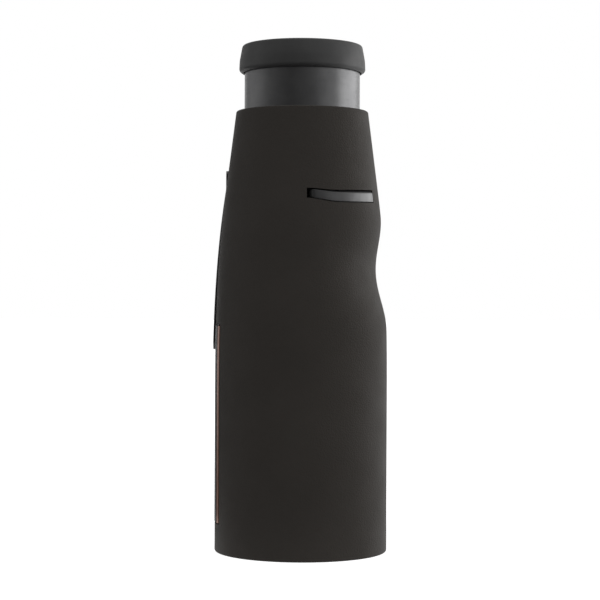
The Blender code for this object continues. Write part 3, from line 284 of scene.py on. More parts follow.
def spread(tree, value, low, high, start=0.35, stop=0.65):
    """Stretches a pattern's middle range to low..high."""
    remap = tree.nodes.new("ShaderNodeMapRange")
    tree.links.new(value, remap.inputs["Value"])
    remap.inputs["From Min"].default_value = start
    remap.inputs["From Max"].default_value = stop
    remap.inputs["To Min"].default_value = low
    remap.inputs["To Max"].default_value = high
    return remap.outputs["Result"]


def blend_colours(tree, factor, first, second):
    mix = tree.nodes.new("ShaderNodeMix")
    mix.data_type = "RGBA"
    tree.links.new(factor, mix.inputs["Factor"])
    mix.inputs["A"].default_value = (*first, 1.0)
    mix.inputs["B"].default_value = (*second, 1.0)
    return mix.outputs["Result"]


def relief(tree, shader, *heights):
    """Chains bumps, each a (height pattern, depth in metres) pair, into the shader's normal."""
    normal = None
    for height, depth in heights:
        bump = tree.nodes.new("ShaderNodeBump")
        bump.inputs["Distance"].default_value = depth
        tree.links.new(height, bump.inputs["Height"])
        if normal:
            tree.links.new(normal, bump.inputs["Normal"])
        normal = bump.outputs["Normal"]
    tree.links.new(normal, shader.inputs["Normal"])


def worn_edges(tree):
    """1 on raised edges, 0 elsewhere."""
    geometry = tree.nodes.new("ShaderNodeNewGeometry")
    return spread(tree, geometry.outputs["Pointiness"], 0.0, 1.0, 0.55, 0.75)


RUBBER_SHEEN = (1.0, 0.90, 0.82)


def grained_rubber(name, colour, light, roughness, grain, depth):
    """Cloudy between two colours, under grains of the given size and depth."""
    material, tree, shader = new_material(name, colour, roughness, specular=0.16)
    shader.inputs["Specular Tint"].default_value = (*RUBBER_SHEEN, 1.0)
    haze = spread(tree, noise(tree, 0.018, 5.0), 0.0, 1.0, 0.3, 0.75)
    tree.links.new(blend_colours(tree, haze, colour, light), shader.inputs["Base Color"])
    rough = spread(tree, noise(tree, 0.006, 4.0), roughness - 0.03, roughness + 0.03)
    tree.links.new(rough, shader.inputs["Roughness"])
    relief(tree, shader, (pebbles(tree, grain), depth), (noise(tree, grain / 2, 2.0), depth / 3))
    return material


def smooth_rubber(name, colour, light, roughness):
    material, tree, shader = new_material(name, colour, roughness, specular=0.38)
    haze = spread(tree, noise(tree, 0.012, 4.0), 0.0, 1.0)
    tree.links.new(blend_colours(tree, haze, colour, light), shader.inputs["Base Color"])
    rough = spread(tree, noise(tree, 0.004, 3.0), roughness - 0.05, roughness + 0.05)
    tree.links.new(rough, shader.inputs["Roughness"])
    relief(tree, shader, (noise(tree, 0.00025, 3.0), 0.00001))
    return material


def moulded_polymer(name, colour, light, roughness):
    material, tree, shader = new_material(name, colour, roughness, specular=0.45)
    haze = spread(tree, noise(tree, 0.010, 4.0), 0.0, 1.0)
    tree.links.new(blend_colours(tree, haze, colour, light), shader.inputs["Base Color"])
    relief(tree, shader, (pebbles(tree, 0.00035), 0.00002), (noise(tree, 0.00015, 2.0), 0.000008))
    return material


def satin_metal(name, colour, worn, roughness, turned=True):
    """Anodised or plated metal with fine machining marks, a little brighter where edges have worn."""
    material, tree, shader = new_material(name, colour, roughness, metallic=0.85)
    haze = spread(tree, noise(tree, 0.008, 4.0), 0.0, 0.35)
    mix = tree.nodes.new("ShaderNodeMath")
    mix.operation = "MAXIMUM"
    tree.links.new(haze, mix.inputs[0])
    tree.links.new(worn_edges(tree), mix.inputs[1])
    tree.links.new(blend_colours(tree, mix.outputs["Value"], colour, worn), shader.inputs["Base Color"])
    stretch = (1, 1, 40) if turned else (12, 1, 1)
    marks = noise(tree, 0.004, 4.0, stretch)
    tree.links.new(spread(tree, marks, roughness - 0.05, roughness + 0.05), shader.inputs["Roughness"])
    relief(tree, shader, (marks, 0.000004), (noise(tree, 0.0002, 2.0), 0.000004))
    return material


def coated_glass(name, colour, film):
    """Clear glass whose coating, film nanometres thick, tints what it mirrors."""
    material, tree, shader = new_material(name, colour, 0.02)
    shader.inputs["Transmission Weight"].default_value = 1.0
    shader.inputs["IOR"].default_value = 1.52
    shader.inputs["Thin Film Thickness"].default_value = film
    shader.inputs["Thin Film IOR"].default_value = 1.36
    smudge = spread(tree, noise(tree, 0.006, 5.0), 0.0, 0.06, 0.5, 0.8)
    tree.links.new(smudge, shader.inputs["Roughness"])
    return material


def solder_mask(name, colour, light):
    """Green lacquer with slightly raised tracks under it."""
    material, tree, shader = new_material(name, colour, 0.35)
    tracks = noise(tree, 0.0012, 0.0, (1, 1, 0.2))
    covered = spread(tree, tracks, 0.0, 1.0, 0.48, 0.52)
    tree.links.new(blend_colours(tree, covered, colour, light), shader.inputs["Base Color"])
    relief(tree, shader, (tracks, 0.00003))
    return material


def printed_sleeve(name, colour, band):
    """Plain shrink sleeve with soft bands of a second colour."""
    material, tree, shader = new_material(name, colour, 0.35)
    haze = spread(tree, noise(tree, 0.02, 1.0, (1, 1, 3)), 0.0, 1.0, 0.45, 0.55)
    tree.links.new(blend_colours(tree, haze, colour, band), shader.inputs["Base Color"])
    relief(tree, shader, (noise(tree, 0.003, 2.0), 0.00003))
    return material


# What makes each material slot, and the values that it takes after the slot's name
RECIPES = {
    "armor_rubber": (
        grained_rubber,
        (0.0250, 0.0227, 0.0206),
        (0.0295, 0.0268, 0.0243),
        0.66,
        0.0003,
        0.00006,
    ),
    "eyecup_rubber": (smooth_rubber, (0.030, 0.030, 0.030), (0.038, 0.038, 0.038), 0.58),
    "button_rubber": (smooth_rubber, (0.030, 0.030, 0.031), (0.038, 0.038, 0.039), 0.52),
    "dark_polymer": (moulded_polymer, (0.020, 0.020, 0.021), (0.028, 0.028, 0.029), 0.50),
    "anodised_metal": (satin_metal, (0.088, 0.088, 0.090), (0.16, 0.16, 0.16), 0.36),
    "black_metal": (satin_metal, (0.060, 0.060, 0.061), (0.12, 0.12, 0.12), 0.40, False),
    "copper_metal": (satin_metal, (0.30, 0.140, 0.095), (0.40, 0.21, 0.15), 0.36, False),
    "steel": (satin_metal, (0.35, 0.35, 0.35), (0.55, 0.55, 0.55), 0.30),
    "brass": (satin_metal, (0.55, 0.40, 0.18), (0.75, 0.60, 0.32), 0.30),
    "glass": (coated_glass, (0.86, 0.93, 0.92), 420.0),
    "board": (solder_mask, (0.012, 0.080, 0.035), (0.020, 0.120, 0.055)),
    "battery_label": (printed_sleeve, (0.080, 0.090, 0.120), (0.120, 0.130, 0.160)),
}
MATERIALS = {slot: make(slot, *values) for slot, (make, *values) in RECIPES.items()}


# ---------------------------------------------------------------- shapes


def mesh_object(name, builder):
    bmesh.ops.recalc_face_normals(builder, faces=builder.faces)
    mesh = bpy.data.meshes.new(name)
    builder.to_mesh(mesh)
    builder.free()
    obj = bpy.data.objects.new(name, mesh)
    bpy.context.scene.collection.objects.link(obj)
    shade(obj)
    return obj


def shade(obj):
    obj.data.shade_smooth()
    obj.data.set_sharp_from_angle(angle=math.radians(SHARP_ANGLE))


def dress(obj, node, replaces=True, finish=None):
    """The piece takes the node's body and place, or only adds to it, and its slot unless finish names one."""
    slot = finish or SLOT_OF[node]
    obj.data.materials.clear()
    obj.data.materials.append(MATERIALS[slot])
    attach(obj, BODY_OF[node])
    if replaces:
        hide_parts(node)


def combine(obj, operation, tools):
    """Cuts or joins the tools, which are used up."""
    for tool in tools:
        modifier = obj.modifiers.new(tool.name, "BOOLEAN")
        modifier.operation = operation
        modifier.object = tool
        modifier.solver = "EXACT"
    graph = bpy.context.evaluated_depsgraph_get()
    mesh = bpy.data.meshes.new_from_object(obj.evaluated_get(graph))
    obj.modifiers.clear()
    obj.data = mesh
    for tool in tools:
        bpy.data.objects.remove(tool, do_unlink=True)
    shade(obj)
    return obj


def soften(corners, closed=True, steps=4):
    """Outline with rounded corners, each given as (across, up, reach of its rounding)."""
    outline = []
    last = len(corners) - 1
    for i, (across, up, reach) in enumerate(corners):
        corner = Vector((across, up))
        if reach == 0 or (not closed and i in (0, last)):
            outline.append(corner)
            continue
        before = Vector(corners[i - 1][:2])
        after = Vector(corners[(i + 1) % len(corners)][:2])
        start = corner + (before - corner).normalized() * reach
        end = corner + (after - corner).normalized() * reach
        for k in range(steps + 1):
            t = k / steps
            outline.append(start * (1 - t) ** 2 + corner * (2 * t * (1 - t)) + end * t**2)
    return outline


def bridge(builder, first, second, looped):
    """Faces between two rows of points, of which one may be a single point."""
    count = max(len(first), len(second))
    for i in range(count if looped else count - 1):
        j = (i + 1) % count
        corners = [first[i % len(first)], first[j % len(first)]]
        corners += [second[j % len(second)], second[i % len(second)]]
        unique = list(dict.fromkeys(corners))
        if len(unique) > 2:
            builder.faces.new(unique)


def lathe(name, profile, at=(0, 0, 0), turn=None, steps=TURN_STEPS, ripple=None):
    """Turned piece about its own Z. ripple(angle, radius, z) gives a change of the radius."""
    builder = bmesh.new()
    rows = []
    for radius, z in profile:
        if radius == 0:
            rows.append([builder.verts.new((0, 0, z))])
            continue
        row = []
        for i in range(steps):
            angle = 2 * math.pi * i / steps
            r = radius + (ripple(angle, radius, z) if ripple else 0.0)
            row.append(builder.verts.new((r * math.cos(angle), r * math.sin(angle), z)))
        rows.append(row)
    pairs = list(zip(rows, rows[1:]))
    if profile[0][0] > 0 and profile[-1][0] > 0:
        pairs.append((rows[-1], rows[0]))
    for first, second in pairs:
        bridge(builder, first, second, True)
    place = Matrix.Translation(at) @ (turn or Matrix.Identity(4))
    bmesh.ops.transform(builder, matrix=place, verts=builder.verts)
    return mesh_object(name, builder)


def rod(name, radius, low, high, at=(0, 0, 0), turn=None, steps=TURN_STEPS):
    return lathe(name, [(0, high), (radius, high), (radius, low), (0, low)], at, turn, steps)


def block(name, low, high):
    low = Vector(low)
    high = Vector(high)
    builder = bmesh.new()
    bmesh.ops.create_cube(builder, size=1.0)
    bmesh.ops.scale(builder, vec=high - low, verts=builder.verts)
    bmesh.ops.translate(builder, vec=(low + high) / 2, verts=builder.verts)
    return mesh_object(name, builder)


# Turns that point a piece's own +Z elsewhere
UPRIGHT = Matrix.Identity(4)
TO_FRONT = Matrix.Rotation(math.pi, 4, "X")
TO_NEAR = Matrix.Rotation(math.pi / 2, 4, "X")
TO_FAR = Matrix.Rotation(-math.pi / 2, 4, "X")
TO_LEFT = Matrix.Rotation(-math.pi / 2, 4, "Y")


def taper(z):
    bend = TAPER_FULL_Z - TAPER_START_Z
    run = min(max(z - TAPER_START_Z, 0.0), bend)
    return TAPER_SLOPE * (run**3 / (3 * bend**2) + max(z - TAPER_FULL_Z, 0.0))


def half_width(z):
    return HALF_WIDTH - taper(z)


def half_height(z):
    return HALF_HEIGHT - HEIGHT_TAPER_SHARE * taper(z)


def groove_depth(z, normal_x):
    along = (z - GROOVE_Z) / (GROOVE_LENGTH / 2)
    if abs(along) >= 1 or normal_x <= GROOVE_FADE:
        return 0.0
    across = (normal_x - GROOVE_FADE) / (1 - GROOVE_FADE)
    smooth = across * across * (3 - 2 * across)
    return GROOVE_DEPTH * smooth * (0.5 + 0.5 * math.cos(math.pi * along))


def skin_point(angle, end, z, inset=0.0):
    """Point of the section at z. end is -1 on the near half circle and 1 on the far one."""
    normal_x = math.cos(angle)
    radius = half_width(z) - inset - groove_depth(z, normal_x)
    centre_y = end * (half_height(z) - half_width(z))
    return Vector((normal_x * radius, centre_y + math.sin(angle) * radius, z))


def arc(end, start, stop, steps):
    return [(math.radians(start + (stop - start) * i / steps), end) for i in range(steps + 1)]


def whole_section():
    return arc(-1, 180, 360, ARC_STEPS) + arc(1, 0, 180, ARC_STEPS)


def round_inset(distance, radius):
    if distance >= radius:
        return 0.0
    return radius - math.sqrt(radius**2 - (radius - distance) ** 2)


def even(low, high, count):
    return [low + (high - low) * i / count for i in range(count + 1)]


def loft(name, stations, rings, looped=True):
    """Closed skin through rings, each a list of (z, inset) at which the stations are taken in turn."""
    builder = bmesh.new()
    rows = [[builder.verts.new(skin_point(a, e, z, inset)) for a, e in stations] for z, inset in rings]
    for first, second in zip(rows, rows[1:] + rows[:1]):
        bridge(builder, first, second, looped)
    if not looped:
        builder.faces.new([row[0] for row in rows])
        builder.faces.new([row[-1] for row in rows])
    return mesh_object(name, builder)


def patch(name, stations, low, high, top, bottom, count=24):
    """Part of the wall between two insets."""
    levels = even(low, high, count)
    outer = [(z, top) for z in levels]
    inner = [(z, bottom) for z in reversed(levels)]
    return loft(name, stations, outer + inner, looped=False)


def capped(name, builder, rows):
    """Solid through rings of points, closed by a flat face at each end."""
    for first, second in zip(rows, rows[1:]):
        bridge(builder, first, second, True)
    builder.faces.new(rows[0])
    builder.faces.new(rows[-1])
    return mesh_object(name, builder)


def plate(name, low, high, inset, edge):
    """Solid slice of the body, its end faces eased by edge."""
    builder = bmesh.new()
    rings = [(low, inset + edge), (low + edge, inset), (high - edge, inset), (high, inset + edge)]
    rows = [[builder.verts.new(skin_point(a, e, z, i)) for a, e in whole_section()] for z, i in rings]
    return capped(name, builder, rows)


def bead(name, path, width, height, sink):
    """Half-round bead on a closed path of (point, outward normal)."""
    count = len(path)
    profile = [(-width, -sink)]
    profile += [(-width * math.cos(a), height * math.sin(a)) for a in even(0.0, math.pi, 6)]
    profile += [(width, -sink)]
    builder = bmesh.new()
    rows = []
    for i, (point, normal) in enumerate(path):
        along = (path[(i + 1) % count][0] - path[i - 1][0]).normalized()
        side = along.cross(normal).normalized()
        rows.append([builder.verts.new(point + side * s + normal * h) for s, h in profile])
    for first, second in zip(rows, rows[1:] + rows[:1]):
        bridge(builder, first, second, True)
    return mesh_object(name, builder)


def crown_path(radius, z, steps=72):
    """Circle round a button's axis, laid on the far side's crown."""
    path = []
    for i in range(steps):
        turn = 2 * math.pi * i / steps
        height = z + radius * math.sin(turn)
        angle = math.acos(radius * math.cos(turn) / half_width(height))
        path.append((skin_point(angle, 1, height), Vector((math.cos(angle), math.sin(angle), 0.0))))
    return path


def station_values(stations, place):
    """Values of a table of stations at a place along its first column."""
    for (start, *first), (stop, *last) in zip(stations, stations[1:]):
        if place <= stop:
            break
    share = min(max((place - start) / (stop - start), 0.0), 1.0)
    return [a + (b - a) * share for a, b in zip(first, last)]


def bar_heights(angle):
    """Lower edge, upper edge of the face and top of the strap bar, blended over a few degrees."""
    places = [math.degrees(angle) + shift for shift in (-BAR_BLEND_ANGLE, 0.0, BAR_BLEND_ANGLE)]
    rows = [station_values(BAR_STATIONS, place) for place in places]
    return [sum(values) / len(rows) for values in zip(*rows)]


def corner_sweep(name, angles, section, steps):
    """Solid swept round the near corner. section(angle) gives points of (depth, z)."""
    builder = bmesh.new()
    rows = []
    for angle, end in arc(-1, *angles, steps):
        rows.append([builder.verts.new(skin_point(angle, end, z, depth)) for depth, z in section(angle)])
    return capped(name, builder, rows)


def slot_space():
    """Cutter for the strap slot, which follows the bar's outline."""

    def section(angle):
        low, _, top = bar_heights(angle)
        low -= SLOT_MARGIN
        top += SLOT_MARGIN
        return [(-OVERRUN, low), (BAR_LEG_DEPTH, low), (BAR_LEG_DEPTH, top), (-OVERRUN, top)]

    return corner_sweep("slot_space", SLOT_ANGLES, section, 32)


# ---------------------------------------------------------------- armour and covers


def make_armor():
    shares = (0.0, 0.03, 0.1, 0.22, 0.4, 0.65)
    levels = [FRONT_EDGE * s for s in shares] + even(FRONT_EDGE, BODY_LENGTH - REAR_EDGE, 96)
    levels += [BODY_LENGTH - REAR_EDGE * s for s in reversed(shares)]
    outer = [(z, round_inset(z, FRONT_EDGE) + round_inset(BODY_LENGTH - z, REAR_EDGE)) for z in levels]
    inner = [(z, ARMOR_WALL) for z in reversed(even(0.0, BODY_LENGTH, 24))]
    armor = loft("armor_sleeve", whole_section(), outer + inner)
    combine(armor, "UNION", [make_clip_pad()])
    reach = TRIM_WIDTH / 2 + GAP
    pocket = panel_patch("panel_pocket", reach, -GAP, -OVERRUN, PANEL_THICKNESS + 1.5 * GAP)
    bore = box_radius("eyecup_sleeve") + GAP
    tools = [pocket, slot_space(), rod("eyecup_space", bore, CLIP_Z[1], BODY_LENGTH + OVERRUN, VIEW_AXIS)]
    for node, radius in BUTTON_RADIUS.items():
        low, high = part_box(node)
        at = (0, 0, (low.z + high.z) / 2)
        tools.append(rod(node + "_space", radius + GAP, low.y, high.y + OVERRUN, at, TO_FAR))
    for at in clip_screw_places():
        tools.append(rod("clip_screw_space", CLIP_HOLE_RADIUS, -CLIP_WELL_DEPTH, OVERRUN, at, TO_LEFT, 32))
    combine(armor, "DIFFERENCE", tools)
    dress(armor, "armor")
    for node, radius in BUTTON_RADIUS.items():
        low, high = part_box(node)
        path = crown_path(radius + COLLAR_GAP, (low.z + high.z) / 2)
        collar = bead(node + "_collar", path, COLLAR_WIDTH, COLLAR_HEIGHT, COLLAR_HEIGHT)
        dress(collar, "armor", replaces=False)


def clip_screw_places():
    """Where the clip's two screws pass the outer side of its box."""
    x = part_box("pocket_clip")[0].x
    return [(x, y, CLIP_SCREW_Z) for y in (-CLIP_SCREW_Y, CLIP_SCREW_Y)]


def make_clip_pad():
    """Raised pad whose upright face backs the clip's root. Its two sides run out along the flank."""
    face_x = -half_width(CLIP_BEND_Z)
    back_x = face_x + PAD_DEPTH
    back = [(back_x, PAD_TOP_Z), (back_x, CLIP_BEND_Z - OVERRUN)]
    sunk = GAP / 3
    raised = [(face_x, CLIP_BEND_Z), (face_x + PAD_LEAN, PAD_FACE_TOP_Z)]
    raised.append((-half_width(PAD_TOP_Z) + sunk, PAD_TOP_Z))
    level = [(-half_width(z) + sunk, z) for _, z in raised]
    builder = bmesh.new()
    rows = []
    for y in (-PAD_FADE_Y, -PAD_HALF_WIDTH, PAD_HALF_WIDTH, PAD_FADE_Y):
        front = raised if abs(y) == PAD_HALF_WIDTH else level
        rows.append([builder.verts.new((x, y, z)) for x, z in front + back])
    return capped("clip_pad", builder, rows)


def panel_patch(name, reach, shrink, top, bottom):
    """Part of the flank's wall, as far as reach past the middle of the border on both sides."""
    angle = PANEL_ANGLE + math.degrees(reach / HALF_WIDTH)
    stations = arc(1, 180 - angle, 180, 12) + arc(-1, 180, 180 + angle, 12)
    return patch(name, stations, PANEL_Z[0] + shrink, PANEL_Z[1] - shrink, top, bottom)


def make_side_panel():
    """Inlaid panel between the two long sides of its border. It covers the border's short sides."""
    half = TRIM_WIDTH / 2
    inner, outer = (PANEL_ANGLE + math.degrees(reach / HALF_WIDTH) for reach in (-half, half))
    levels = (-PANEL_LIFT, PANEL_THICKNESS)
    far = patch("border_far", arc(1, 180 - outer, 180 - inner, 4), *PANEL_Z, *levels)
    near = patch("border_near", arc(-1, 180 + inner, 180 + outer, 4), *PANEL_Z, *levels)
    dress(combine(near, "UNION", [far]), "side_trim")
    panel = panel_patch("panel_inlay", -half - PANEL_SEAM, 0.0, *levels)
    dress(panel, "side_panel")


def make_front_bezel():
    """Front plate with its three windows, and the rings and the barrel in them."""
    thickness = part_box("front_bezel")[1].z
    bezel = plate("front_plate", 0.0, thickness, FACE_INSET, PLATE_EDGE)
    windows = (
        ("objective_window", box_radius("objective_ring") + GAP, VIEW_AXIS),
        ("receiver_window", box_radius("receiver_ring") + GAP, NEAR_AXIS),
        ("emitter_window", EMITTER_WINDOW_RADIUS, EMITTER_AXIS),
    )
    tools = []
    for name, radius, axis in windows:
        wide = radius + WINDOW_FLARE
        profile = [(0, thickness + OVERRUN), (radius, thickness + OVERRUN), (radius, WINDOW_FLARE)]
        profile += [(wide, 0.0), (wide, -OVERRUN), (0, -OVERRUN)]
        tools.append(lathe(name, profile, axis))
    for node in ("bezel_screw_left", "bezel_screw_right"):
        tools.append(screw_well(node, TO_FRONT))
    dress(combine(bezel, "DIFFERENCE", tools), "front_bezel")
    make_retainer("objective_ring", VIEW_AXIS)
    make_retainer("receiver_ring", NEAR_AXIS)
    make_emitter_barrel()


def make_emitter_barrel():
    low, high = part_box("emitter_cell")
    outer = box_radius("emitter_cell")
    inner = outer - EMITTER_WALL
    profile = soften([(outer, high.z, 0), (outer, low.z, 0.0002), (inner, low.z, 0.0002)])
    profile.append(Vector((inner, high.z)))
    dress(lathe("emitter_barrel", profile, EMITTER_AXIS, steps=48), "emitter_cell")


def make_retainer(node, axis):
    """Lens retainer with a stepped bore and two spanner notches."""
    low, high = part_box(node)
    radius = box_radius(node)
    wall = RETAINER_WALL
    corners = [
        (radius, high.z, 0),
        (radius, low.z, 0.0001),
        (radius - wall * 0.4, low.z, 0.0001),
        (radius - wall, low.z + wall * 0.6, 0.0001),
        (radius - wall, high.z, 0),
    ]
    retainer = lathe(node + "_stepped", soften(corners), axis)
    inward, outward = NOTCH_REACH
    notches = []
    for side in (-1, 1):
        left, right = sorted((side * (radius - inward), side * (radius + outward)))
        first = (left, axis.y - NOTCH_HALF_WIDTH, low.z - NOTCH_OVERRUN)
        last = (right, axis.y + NOTCH_HALF_WIDTH, low.z + NOTCH_DEPTH)
        notches.append(block("notch", first, last))
    dress(combine(retainer, "DIFFERENCE", notches), node)


def screw_well(node, turn):
    """Space for a screw's head, open outwards."""
    low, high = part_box(node)
    at = (low + high) / 2
    at.z = low.z if turn is TO_FRONT else high.z
    radius = SCREW_HEAD_RADIUS + GAP
    wide = radius + SCREW_WELL_FLARE
    rim = GAP - SCREW_WELL_FLARE
    profile = [(0, OVERRUN), (wide, OVERRUN), (wide, GAP + rim)]
    profile += [(radius, rim), (radius, -SCREW_WELL_DEPTH), (0, -SCREW_WELL_DEPTH)]
    return lathe(node + "_well", profile, at, turn, 40)


def drive_lobes(angle, radius, z):
    return DRIVE_LOBE_HEIGHT * math.cos(DRIVE_LOBES * angle)


def make_screws():
    """Machine screws with an eased head and a six-lobed drive."""
    turns = {"bezel": TO_FRONT, "rear": UPRIGHT, "clip": TO_LEFT, "board": TO_NEAR}
    shank, wide, under = SCREW_SHANK_RADIUS, SCREW_HEAD_RADIUS, -SCREW_HEAD_HEIGHT
    drive = [(0, OVERRUN), (DRIVE_RADIUS, OVERRUN), (DRIVE_RADIUS, -DRIVE_DEPTH), (0, -DRIVE_POINT_DEPTH)]
    for node in [name for name in NODES if "_screw" in name]:
        low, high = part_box(node)
        turn = turns[node.split("_")[0]]
        out = turn @ Vector((0, 0, 1))
        sink = CLIP_HEAD_SINK if node.startswith("clip") else 0.0
        length = max(high - low) - sink
        at = (low + high) / 2 + out * (length - sink) / 2
        outline = [(0, -length, 0), (shank, -length, 0.0001), (shank, under, 0), (wide, under, 0.0001)]
        outline += [(wide, 0, 0.0002), (0, 0, 0)]
        screw = lathe(node + "_driven", soften(outline, closed=False), at, turn, 40)
        cutter = lathe("drive", drive, at, turn, 48, drive_lobes)
        dress(combine(screw, "DIFFERENCE", [cutter]), node)


def make_rear_cover():
    """Rear housing with the well that guides the eyecup and the seat of the battery cap."""
    low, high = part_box("rear_cover")
    cover = plate("rear_housing", low.z, high.z, FACE_INSET, PLATE_EDGE)
    above, below = high.z + OVERRUN, low.z - OVERRUN

    def flared_bore(radius, floor):
        wide = radius + COVER_FLARE
        return [(0, above), (wide, above), (wide, high.z), (radius, high.z - COVER_FLARE), (radius, floor)]

    floor = low.z + COVER_FLOOR
    eyecup_space = flared_bore(box_radius("eyecup_sleeve") + GAP, floor)
    eyecup_space += [(COVER_BORE_RADIUS, floor), (COVER_BORE_RADIUS, below), (0, below)]
    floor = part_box("battery_cap")[1].z - CAP_HEAD_HEIGHT - GAP
    cap_space = flared_bore(box_radius("battery_cap") + GAP, floor)
    cap_space += [(CAP_SEAT_RADIUS, floor), (CAP_SEAT_RADIUS, CAP_SEAT_Z)]
    cap_space += [(BATTERY_BORE_RADIUS, CAP_SEAT_Z), (BATTERY_BORE_RADIUS, below), (0, below)]
    tools = [lathe("eyecup_space", eyecup_space, VIEW_AXIS), lathe("cap_space", cap_space, NEAR_AXIS)]
    for node in [name for name in NODES if name.startswith("rear_screw")]:
        tools.append(screw_well(node, UPRIGHT))
    dress(combine(cover, "DIFFERENCE", tools), "rear_cover")


def make_battery_cap():
    """Lid with a shallow dish, a coin slot and a knurled rim, on a plain skirt."""
    low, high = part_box("battery_cap")
    radius = box_radius("battery_cap")
    head = high.z - CAP_HEAD_HEIGHT
    skirt = radius - CAP_OVERHANG
    dish = high.z - CAP_DISH
    corners = [(0, dish, 0), (radius * 0.72, dish, 0.0003), (radius * 0.74, high.z, 0.0001)]
    corners += [(radius, high.z, 0.0003), (radius, head, 0), (skirt, head, 0)]
    corners += [(skirt, low.z, 0), (0, low.z, 0)]

    def knurl(angle, r, z):
        on_rim = r > skirt + 0.0006 and z < high.z - 0.0002
        return -CAP_KNURL_DEPTH * max(0.0, math.cos(CAP_KNURLS * angle)) if on_rim else 0.0

    cap = lathe("battery_lid", soften(corners, closed=False), NEAR_AXIS, steps=324, ripple=knurl)
    reach, side, depth = COIN_SLOT
    first = (-reach, NEAR_AXIS.y - side, high.z - depth)
    last = (reach, NEAR_AXIS.y + side, high.z + OVERRUN)
    dress(combine(cap, "DIFFERENCE", [block("coin_slot", first, last)]), "battery_cap")


# ---------------------------------------------------------------- strap bar and clip


def make_strap_bar():
    """Metal strip round the corner, bevelled along its top, with a leg into the body at each end."""
    ease = BAR_EASE

    def section(angle):
        low, face, top = bar_heights(angle)
        share = max(BAR_TURN_ANGLE - math.degrees(angle), 0.0) / (BAR_TURN_ANGLE - BAR_ANGLES[0])
        front = BAR_TURN_DEPTH * share**2
        back = front + BAR_THICKNESS
        corners = [(front, low, ease), (back, low, ease), (back, top, ease)]
        corners += [(front + BAR_BEVEL_DEPTH, top, ease / 2), (front, face, ease / 2)]
        return soften(corners, steps=3)

    bar = corner_sweep("strap_bar", BAR_ANGLES, section, 48)
    legs = []
    for name, start in (("leg_first", BAR_ANGLES[0]), ("leg_last", BAR_ANGLES[1] - BAR_LEG_ANGLE)):
        stop = start + BAR_LEG_ANGLE
        low, face, _ = bar_heights(math.radians((start + stop) / 2))
        stations = arc(-1, start, stop, 4)
        top = BAR_THICKNESS / 2 + (BAR_TURN_DEPTH if name == "leg_first" else 0.0)
        legs.append(patch(name, stations, low + ease, face - ease, top, BAR_LEG_DEPTH, count=2))
    dress(combine(bar, "UNION", legs), "lanyard_bar", finish="black_metal")


def make_clip():
    """Spring strip along the flank, with rounded corners, eased edges and two screw holes."""
    low, high = CLIP_Z[0], CLIP_TOP_Z
    tip, root, ease = CLIP_TIP_ROUND, CLIP_ROOT_ROUND, CLIP_EASE
    builder = bmesh.new()
    rows = []
    levels = [low + tip * s for s in (0.0, 0.02, 0.08, 0.18, 0.32, 0.5, 0.75)]
    levels += even(low + tip, CLIP_BEND_Z, 40)
    levels += [high - root * s for s in (1.0, 0.7, 0.4, 0.2, 0.08, 0.0)]
    for z in levels:
        along = min(z, CLIP_BEND_Z)
        free = (CLIP_BEND_Z - along) / (CLIP_BEND_Z - low)
        inner_x = -half_width(along) - CLIP_AIR - CLIP_FLARE * free
        half = CLIP_HALF_WIDTH - round_inset(z - low, tip) - round_inset(high - z, root)
        corners = [(0, -half, ease), (0, half, ease)]
        corners += [(CLIP_THICKNESS, half, ease), (CLIP_THICKNESS, -half, ease)]
        rows.append([builder.verts.new((inner_x - t, y, z)) for t, y in soften(corners, steps=2)])
    clip = capped("spring_clip", builder, rows)
    holes = []
    for at in clip_screw_places():
        holes.append(rod("clip_hole", CLIP_HOLE_RADIUS, -CLIP_HOLE_DEPTH, OVERRUN, at, TO_LEFT, 48))
    dress(combine(clip, "DIFFERENCE", holes), "pocket_clip")


# ---------------------------------------------------------------- eyepiece, lenses and buttons


def make_eyecup():
    """Plain tube, and the rubber cup moulded over its mouth."""
    low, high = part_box("eyecup_sleeve")
    radius = box_radius("eyecup_sleeve") + GAP / 2
    bore = radius - SLEEVE_WALL
    corners = [(radius, high.z, 0.0001), (radius, low.z, 0.0002)]
    corners += [(bore, low.z, 0.0001), (bore, high.z, 0.0001)]
    dress(lathe("eyecup_tube", soften(corners), VIEW_AXIS), "eyecup_sleeve")
    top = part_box("eyecup_rubber")[1].z
    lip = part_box("eyecup_rubber")[0].z
    wide = box_radius("eyecup_rubber")
    shelf = high.z + GAP
    rubber = [
        (EYECUP_MOUTH_RADIUS, shelf, 0),
        (EYECUP_MOUTH_RADIUS, top, 0.0006),
        (wide - 0.00078, top, 0.0006),
        (wide - 0.00010, lip + 0.0030, 0.0005),
        (wide, lip + 0.0006, 0.0005),
        (radius + 0.0004, lip, 0.0002),
        (radius + GAP, lip + 0.0001, 0),
        (radius + GAP, shelf, 0),
    ]
    dress(lathe("eyecup_moulding", soften(rubber), VIEW_AXIS, steps=128), "eyecup_rubber")


